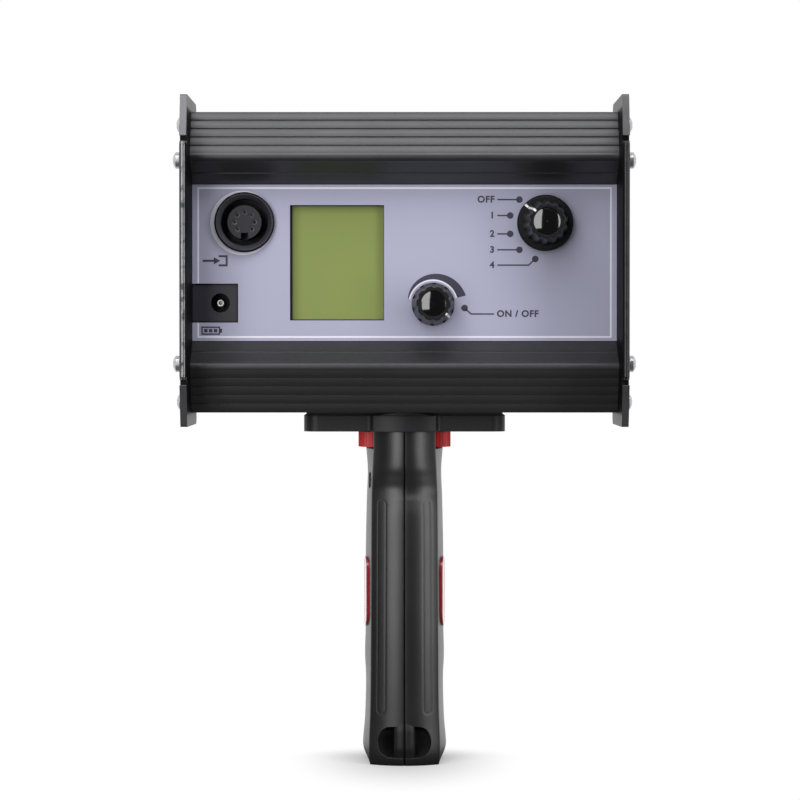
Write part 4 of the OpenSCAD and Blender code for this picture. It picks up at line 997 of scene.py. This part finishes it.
def strap_bar(g):
    """Arched bar across the strap recess that runs out into the grip's back, with the seam down it."""
    built, rows = bmesh.new(), []
    shoulder = shoulder_height()
    middle = LUG_MIDDLE + LUG_TALL / 12
    side_power, back_power = ARCH_POWERS
    for i in range(ARCH_STEPS + 1):
        z = middle - ARCH_TALL / 2 + ARCH_TALL * i / ARCH_STEPS
        near = 1 - abs(z - middle) / (ARCH_TALL / 2)
        back = -curve_at(z / shoulder, GRIP_REAR) + ARCH_SINK - ARCH_PROUD * ease(near, 0.0, ARCH_RISE)
        row = []
        for k in range(ARCH_STEPS + 1):
            a = math.radians(-90 + 180 * k / ARCH_STEPS)
            across, in_out = math.sin(a), math.cos(a)
            x = ARCH_WIDE / 2 * math.copysign(abs(across) ** side_power, across)
            sink = g.seam / MM * math.exp(-((x / ARCH_SEAM) ** 2))
            row.append((x, back + ARCH_ROUND * (1 - in_out**back_power) + sink, z))
        rows.append(row + [(ARCH_WIDE / 2, ARCH_FRONT, z), (-ARCH_WIDE / 2, ARCH_FRONT, z)])
    loft(built, rows, Matrix.Scale(MM, 4))
    return built


def badge_rim(built, side):
    """Pale rim round one oval badge."""
    turn = Matrix.Rotation(math.radians(BADGE_TILT), 4, "Z")
    place = Matrix.Diagonal((side * MM, MM, MM, 1)) @ Matrix.Translation(BADGE_PLACE) @ turn
    outline, inside = (stadium_loop(*(size - inset for size in BADGE_SIZE)) for inset in RIM_INSETS)
    face = BADGE_THICK + RIM_PROUD
    loops = []
    for loop, thick in ((outline, RIM_FOOT), (outline, face), (inside, face), (inside, RIM_FOOT)):
        loops.append([built.verts.new(place @ Vector((thick, y, z))) for y, z in loop])
    skin(built, loops + loops[:1])


# Operators


class StrobeOperator:
    """Shared settings of the making steps."""

    bl_options = {"REGISTER", "UNDO"}


class STROBE_OT_housing(StrobeOperator, Operator):
    """Finish the profiles, side plates and their fasteners"""

    bl_idname = "strobe.housing"
    bl_label = "Housing"

    def execute(self, context):
        FINISHES.update(finishes(context.scene.strobe_colours))
        wear("anodised", "top_profile")
        # The lower profile wears the darker copy with painted shade
        wear("anodised_painted_shade", "bottom_profile")
        wear("plate", "left_side_plate", "right_side_plate")
        wear("steel", "plate_screws", "plate_washers")
        return {"FINISHED"}


class STROBE_OT_face(StrobeOperator, Operator):
    """Finish the control panel, its foil and the display"""

    bl_idname = "strobe.face"
    bl_label = "Control face"
    # Black frame of painted shade on the display, in millimetres: inset from the glass's edges, thickness and
    # widths
    inset, thick = 1.8, 0.15
    left, right, foot, top = 0.8, 0.2, 0.35, 0.3

    def execute(self, context):
        wear("panel", "control_panel")
        wear("foil", "panel_foil")
        wear("display", "lcd_glass")
        self.gasket()
        return {"FINISHED"}

    def gasket(self):
        """Black frame of painted shade between the panel and the display, wider on the left."""
        low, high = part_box("lcd_glass")
        x0, z0 = moved((low.x, low.z), self.inset, self.inset)
        x1, z1 = moved((high.x, high.z), -self.inset, -self.inset)
        outside = [(x0, z0), (x1, z0), (x1, z1), (x0, z1)]
        widths = (
            (self.left, self.foot), (-self.right, self.foot), (-self.right, -self.top), (self.left, -self.top)
        )
        inside = [moved(corner, *width) for corner, width in zip(outside, widths)]
        # Painted shade: a thin black frame on the glass, widest on its left
        layer = Layer(low.y - self.thick * MM, low.y)
        layer.strip(outside, inside, closed=True)
        piece("display_gasket", layer.built, "rubber")


class STROBE_OT_printing(StrobeOperator, Operator):
    """Print the frame line, dial marks and generic legends on the foil"""

    bl_idname = "strobe.printing"
    bl_label = "Printing"
    # Frame line and selector, in millimetres and degrees
    jack_gap, dial_shift, dial_start, dial_step = 0.15, (-0.18, -0.5), 135, 30
    leader_start, leader_lap, leader_drop, leader_bend, leader_tip = -16.5, 0.1, 2.15, 2.3, (-0.6, -0.5)
    word_gap = 1.0
    # Encoder, in millimetres and degrees
    sweep_start, sweep, sweep_steps = 168, 153, 60
    sweep_inner, sweep_thin, sweep_growth, halo_radii = 8.75, 0.2, 2.9, (8.15, 8.65)
    push_dot, push_tip, push_bend, push_line = (11.0, -1.3), (0.5, -0.5), (2.3, -2.1), 8.0
    # Pictograms at the sockets, and the painted highlight ring round the input, in millimetres
    signal_corner, signal_line, signal_shaft = (-4.2, -2.9), 0.7, 4.2
    signal_tip = ((3.9, -1.25), (6.2, 0), (3.9, 1.25))
    signal_bracket = ((5.6, 1.6), (8.4, 1.6), (8.4, -1.6), (5.6, -1.6))
    battery_corner, battery_size, battery_line = (3.1, -2.8), (6.6, 2.9), 0.5
    nib_size, bar_start, bar_step, bar_size = (0.7, 1.4), 1.0, 1.7, 1.2
    ring_shift, ring_radii = (-0.8, -0.15), (9.8, 11.25)

    def execute(self, context):
        p = context.scene.strobe_print
        low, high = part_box("panel_foil")
        self.front, self.back = low.y - p.ink, low.y
        self.frame_lines(p, low, high)
        self.selector(p)
        self.encoder(p)
        self.socket_marks()
        return {"FINISHED"}

    def layer(self):
        return Layer(self.front, self.back)

    def frame_lines(self, p, low, high):
        """Frame line, broken at the charge jack."""
        jack_low, jack_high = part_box("charge_jack")
        x0, x1 = low.x + p.frame_in, high.x - p.frame_in
        z0, z1 = low.z + p.frame_foot, high.z - p.frame_top
        gap = self.jack_gap * MM
        start, end = (x0, jack_high.z + gap), (x0, jack_low.z - gap)
        line = self.layer()
        line.line([start, (x0, z1), (x1, z1), (x1, z0), (x0, z0), end], p.frame_line)
        piece("print_frame_line", line.built, "print_light")

    def selector(self, p):
        """Dot, leader and number of each position."""
        centre = moved(middle_of("mode_knob"), *self.dial_shift)
        start = centre[0] + self.leader_start * MM
        marks, letters = self.layer(), self.layer()
        for i in range(5):
            dot = turned(centre, p.dial_ring, self.dial_start + self.dial_step * i)
            marks.disc(dot, p.dot / 2)
            if i < 4:
                level = dot[1]
                route = [(start, level), (dot[0] - p.dot / 2 + self.leader_lap * MM, level)]
            else:
                level = dot[1] - self.leader_drop * MM
                bend = (dot[0] - self.leader_bend * MM, level)
                route = [(start, level), bend, moved(dot, *self.leader_tip)]
            marks.line(route, p.line)
            text = str(i) if i else "OFF"
            letters.words(text, (start - self.word_gap * MM, level), p.letter, "RIGHT")
        piece("print_selector_marks", marks.built, "print_dark")
        piece("print_selector_numbers", letters.built, "print_dark")

    def encoder(self, p):
        """Swelling arc, light ring and push leader of the encoder."""
        centre, steps = middle_of("encoder_knob"), range(self.sweep_steps + 1)
        shares = [i / self.sweep_steps for i in steps]
        angles = [self.sweep_start - self.sweep * i / self.sweep_steps for i in steps]
        inner = [self.sweep_inner * MM for _ in steps]
        outer = [(self.sweep_inner + self.sweep_thin + self.sweep_growth * s**0.8) * MM for s in shares]
        marks = self.layer()
        marks.arc(centre, inner, outer, angles)
        dot = moved(centre, *self.push_dot)
        bend = moved(dot, *self.push_bend)
        end = moved(bend, self.push_line, 0)
        marks.disc(dot, p.dot / 2)
        marks.line([moved(dot, *self.push_tip), bend, end], p.line)
        piece("print_encoder_marks", marks.built, "print_dark")
        rim = self.layer()
        rim.arc(centre, *([radius * MM for _ in steps] for radius in self.halo_radii), angles)
        piece("print_encoder_ring", rim.built, "print_light")
        letters = self.layer()
        letters.words("ON / OFF", moved(end, self.word_gap, 0), p.letter, "LEFT")
        piece("print_encoder_legend", letters.built, "print_dark")

    def socket_marks(self):
        """Signal arrow at the input, battery at the charge jack, and a painted highlight: a light ring round
        the input, shifted left and down.
        """
        marks = self.layer()
        low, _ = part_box("input_shell")
        start = moved((low.x, low.z), *self.signal_corner)
        marks.line([start, moved(start, self.signal_shaft, 0)], self.signal_line * MM)
        marks.area([moved(start, *corner) for corner in self.signal_tip])
        marks.line([moved(start, *corner) for corner in self.signal_bracket], self.signal_line * MM)
        low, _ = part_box("charge_jack")
        start = moved((low.x, low.z), *self.battery_corner)
        wide, tall = self.battery_size
        loops = []
        for inset in (0, self.battery_line):
            left, right, edge = inset, wide - inset, tall / 2 - inset
            corners = ((left, -edge), (right, -edge), (right, edge), (left, edge))
            loops.append([moved(start, *corner) for corner in corners])
        marks.strip(*loops, closed=True)
        marks.block(moved(start, wide, -self.nib_size[1] / 2), *self.nib_size)
        for i in range(3):
            place = moved(start, self.bar_start + self.bar_step * i, -self.bar_size / 2)
            marks.block(place, self.bar_size, self.bar_size)
        piece("print_socket_marks", marks.built, "print_dark")
        # Painted highlight: a light ring shifted left and down, showing as a crescent beside the input
        painted_highlight = self.layer()
        angles = [5 * i for i in range(72)]
        radii = ([radius * MM for _ in angles] for radius in self.ring_radii)
        painted_highlight.arc(moved(middle_of("input_shell"), *self.ring_shift), *radii, angles, closed=True)
        piece("print_input_ring", painted_highlight.built, "print_light")


class STROBE_OT_sockets(StrobeOperator, Operator):
    """Finish the input socket and the charge jack"""

    bl_idname = "strobe.sockets"
    bl_label = "Sockets"
    # Pin round its mouth and into its bore, as (share of the radius, depth in millimetres)
    pin_mouth = (
        (1.0, 0.45), (0.98, 0.22), (0.93, 0.06), (0.86, 0.0), (0.7, 0.0), (0.62, 0.05), (0.57, 0.18),
        (0.54, 0.45), (0.54, 3.0),
    )

    def execute(self, context):
        wear("socket_ring", "input_shell")
        wear("socket", "input_insert")
        wear("contact", "input_contacts")
        wear("steel", "input_nut")
        wear("jack", "charge_jack")
        self.pin()
        return {"FINISHED"}

    def pin(self):
        """Hollow contact pin with a rounded mouth."""
        low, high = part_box("charge_pin")
        centre, radius = middle_of("charge_pin"), (high.x - low.x) / 2
        rows = []
        for share, depth in ((1.0, (high.y - low.y) / MM), *self.pin_mouth):
            loop = [turned(centre, radius * share, 7.5 * i) for i in range(48)]
            rows.append([(x, low.y + depth * MM, z) for x, z in loop])
        built = bmesh.new()
        loft(built, rows)
        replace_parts(piece("charge_pin_tip", built, "bright", smooth=40), "charge_pin")


class STROBE_OT_knobs(StrobeOperator, Operator):
    """Finish the selector and the push encoder"""

    bl_idname = "strobe.knobs"
    bl_label = "Knobs"

    def execute(self, context):
        for kind in ("mode", "encoder"):
            for part in ("knob", "cap", "pointer"):
                wear(part, f"{kind}_{part}")
            wear("steel", kind + "_shaft", kind + "_nut")
        wear("switch", "mode_switch", "encoder_body")
        wear("ivory", "encoder_plunger")
        return {"FINISHED"}


class STROBE_OT_inside(StrobeOperator, Operator):
    """Finish the boards, cells and fasteners inside the housing"""

    bl_idname = "strobe.inside"
    bl_label = "Inside"

    def execute(self, context):
        wear("board", "lcd_board", "control_board", "driver_board")
        wear("chip", "lcd_header", "board_chips")
        wear("steel", "board_standoffs", "board_screws", "tripod_bush")
        wear("sleeve", "storage_capacitors")
        wear("tray", "battery_tray")
        wear("cell", "battery_cells")
        return {"FINISHED"}


class STROBE_OT_flash(StrobeOperator, Operator):
    """Finish the flash side: bezel, window, reflectors and laser"""

    bl_idname = "strobe.flash"
    bl_label = "Flash side"

    def execute(self, context):
        wear("anodised", "front_bezel")
        wear("window", "front_window")
        wear("reflector", "reflector_array")
        wear("led_board", "led_board")
        wear("emitter", "led_emitters")
        wear("sink", "heat_sink")
        wear("steel", "stack_screws")
        wear("brass", "laser_module")
        wear("lens", "laser_lens")
        return {"FINISHED"}


class STROBE_OT_handle_head(StrobeOperator, Operator):
    """Finish the platform, pad and red clamping wheel"""

    bl_idname = "strobe.handle_head"
    bl_label = "Handle head"

    def execute(self, context):
        wear("platform", "handle_platform")
        wear("rubber", "platform_pad")
        wear("black_screw", "platform_screws")
        wear("wheel", "clamp_wheel")
        wear("steel", "clamp_screw")
        return {"FINISHED"}


class STROBE_OT_grip(StrobeOperator, Operator):
    """Mould the two grip shells and dress the badges"""

    bl_idname = "strobe.grip"
    bl_label = "Grip"

    def execute(self, context):
        g = context.scene.strobe_grip
        for side, node in ((-1, "grip_left"), (1, "grip_right")):
            shell = piece(node + "_shell", grip_shell(g, side), "grip", smooth=38)
            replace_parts(shell, node)
        piece("grip_strap_bar", strap_bar(g), "lug", smooth=50)
        wear("black_screw", "grip_screws")
        wear("badge", "grip_badges")
        rims = bmesh.new()
        for side in (-1, 1):
            badge_rim(rims, side)
        piece("grip_badge_rims", rims, "badge_rim", smooth=40)
        return {"FINISHED"}


class STROBE_OT_stage(StrobeOperator, Operator):
    """Set up the table, studio light and camera"""

    bl_idname = "strobe.stage"
    bl_label = "Stage"
    table_radius, light_aim, sensor, frame_px = 0.22, (0, 0, 0.15), 36.0, 800
    # Painted shadow pool on the table, longest towards the front: stretch to the side, back and front, radius
    # in metres, glow in its middle
    pool_side, pool_back, pool_front, pool_radius, pool_glow = 1.15, 1.6, -0.55, 0.05, 0.1
    # Tone of the table to other rays and to the camera, and its loss in reflections
    tone_other, tone_seen, tone_loss = 0.3, 0.72, 0.18
    # Softboxes: place, width and height in metres
    softboxes = {
        "key": ((-0.48, -1.02, 0.38), 0.52, 1.3),
        "top": ((0.0, -0.62, 1.12), 1.5, 0.5),
        "fill": ((0.84, -0.7, 0.38), 0.38, 1.3),
    }

    def execute(self, context):
        s = context.scene.strobe_stage
        self.table()
        self.world(s)
        self.lamps(s)
        self.camera(s)
        context.scene.view_settings.view_transform = "Standard"
        return {"FINISHED"}

    def table(self):
        """Pale round table that glows white away from the grip's foot and keeps its shadow, with a painted
        shadow pool round the foot.
        """
        built = bmesh.new()
        bmesh.ops.create_circle(built, cap_ends=True, radius=self.table_radius, segments=96)
        mesh = bpy.data.meshes.new("table")
        built.to_mesh(mesh)
        built.free()
        top = stand("table", mesh)
        made = bpy.data.materials.new("Pale Table")
        made.use_nodes = True
        made.node_tree.nodes.clear()
        w = Wiring(made.node_tree)
        place = w.split(w.place())
        depth = place["Y"]
        pool = w.math("MAXIMUM", w.times(depth, self.pool_back), w.times(depth, self.pool_front))
        spread = w.add("CombineXYZ", {"X": w.times(place["X"], self.pool_side), "Y": pool}).outputs[0]
        reach = w.vector("LENGTH", spread)["Value"]
        # Painted shadow: the glow fades near the foot, so the table shows darker there, furthest towards the
        # front
        share = w.span(reach, 0.0, self.pool_radius, self.pool_glow, 1.0, smooth=True)
        path = w.add("LightPath").outputs
        behind = w.times(path["Is Glossy Ray"], w.span(depth, -0.02, 0.06, smooth=True))
        plain_view = w.math("MAXIMUM", path["Is Camera Ray"], path["Is Transmission Ray"])
        seen = w.times(w.math("MAXIMUM", plain_view, behind), share)
        tone = w.span(plain_view, 0.0, 1.0, self.tone_other, self.tone_seen)
        tone = w.math("SUBTRACT", tone, w.times(path["Is Glossy Ray"], self.tone_loss))
        diffuse = w.add("BsdfDiffuse", {"Color": tone}).outputs[0]
        glow = w.add("Emission", {"Color": (1, 1, 1, 1), "Strength": 1.0}).outputs[0]
        both = w.add("MixShader", {0: seen, 1: diffuse, 2: glow}).outputs[0]
        w.add("OutputMaterial", {"Surface": both})
        mesh.materials.append(made)

    def world(self, s):
        """White backdrop for the camera, dim behind it, with an even light."""
        world = bpy.data.worlds.new("Studio")
        bpy.context.scene.world = world
        world.use_nodes = True
        world.node_tree.nodes.clear()
        w = Wiring(world.node_tree)
        path = w.add("LightPath").outputs
        way = w.split(w.add("TexCoord").outputs["Generated"])
        glossy = w.times(path["Is Glossy Ray"], w.span(way["Y"], -0.3, 0.25, 0.04, 1.0, smooth=True))
        clear = w.math("MAXIMUM", path["Is Camera Ray"], path["Is Transmission Ray"])
        soft = w.times(path["Is Diffuse Ray"], s.ambient)
        strength = w.math("MAXIMUM", w.math("MAXIMUM", glossy, clear), soft)
        back = w.add("Background", {"Color": (1, 1, 1, 1), "Strength": strength}).outputs[0]
        w.add("OutputWorld", {"Surface": back})

    def lamps(self, s):
        for name, (place, wide, tall) in self.softboxes.items():
            lamp = bpy.data.lights.new(name + "_softbox", "AREA")
            lamp.shape = "RECTANGLE"
            lamp.size, lamp.size_y, lamp.energy = wide, tall, getattr(s, name)
            holder = stand(name + "_softbox", lamp)
            holder.location = place
            aim = Vector(self.light_aim) - Vector(place)
            holder.rotation_euler = aim.to_track_quat("-Z", "Y").to_euler()

    def camera(self, s):
        lens = bpy.data.cameras.new("camera")
        lens.sensor_width = self.sensor
        lens.lens = s.focal_px / self.frame_px * lens.sensor_width
        holder = stand("camera", lens)
        holder.location = (0, -s.distance, s.eye)
        holder.rotation_euler = (math.pi / 2 - s.pitch, 0, s.yaw)
        bpy.context.scene.camera = holder


STEPS = (
    STROBE_OT_housing,
    STROBE_OT_face,
    STROBE_OT_printing,
    STROBE_OT_sockets,
    STROBE_OT_knobs,
    STROBE_OT_inside,
    STROBE_OT_flash,
    STROBE_OT_handle_head,
    STROBE_OT_grip,
    STROBE_OT_stage,
)
GROUPS = {
    "strobe_colours": StrobeColours,
    "strobe_print": StrobePrint,
    "strobe_grip": StrobeGrip,
    "strobe_stage": StrobeStage,
}


class STROBE_PT_sidebar(Panel):
    """Lists the making steps and their settings."""

    bl_idname = "STROBE_PT_sidebar"
    bl_label = "Stroboscope"
    bl_space_type = "VIEW_3D"
    bl_region_type = "UI"
    bl_category = "Stroboscope"

    def draw(self, context):
        for step in STEPS:
            self.layout.operator(step.bl_idname)
        for group in GROUPS:
            settings = getattr(context.scene, group)
            box = self.layout.box()
            for name in settings.__annotations__:
                box.prop(settings, name)


def register():
    for kind in (*GROUPS.values(), *STEPS, STROBE_PT_sidebar):
        bpy.utils.register_class(kind)
    for name, kind in GROUPS.items():
        setattr(bpy.types.Scene, name, PointerProperty(type=kind))


def unregister():
    for name in GROUPS:
        delattr(bpy.types.Scene, name)
    for kind in (STROBE_PT_sidebar, *STEPS[::-1], *list(GROUPS.values())[::-1]):
        bpy.utils.unregister_class(kind)


def main():
    register()
    for step in STEPS:
        category, name = step.bl_idname.split(".")
        getattr(getattr(bpy.ops, category), name)()


if __name__ == "__main__":
    main()
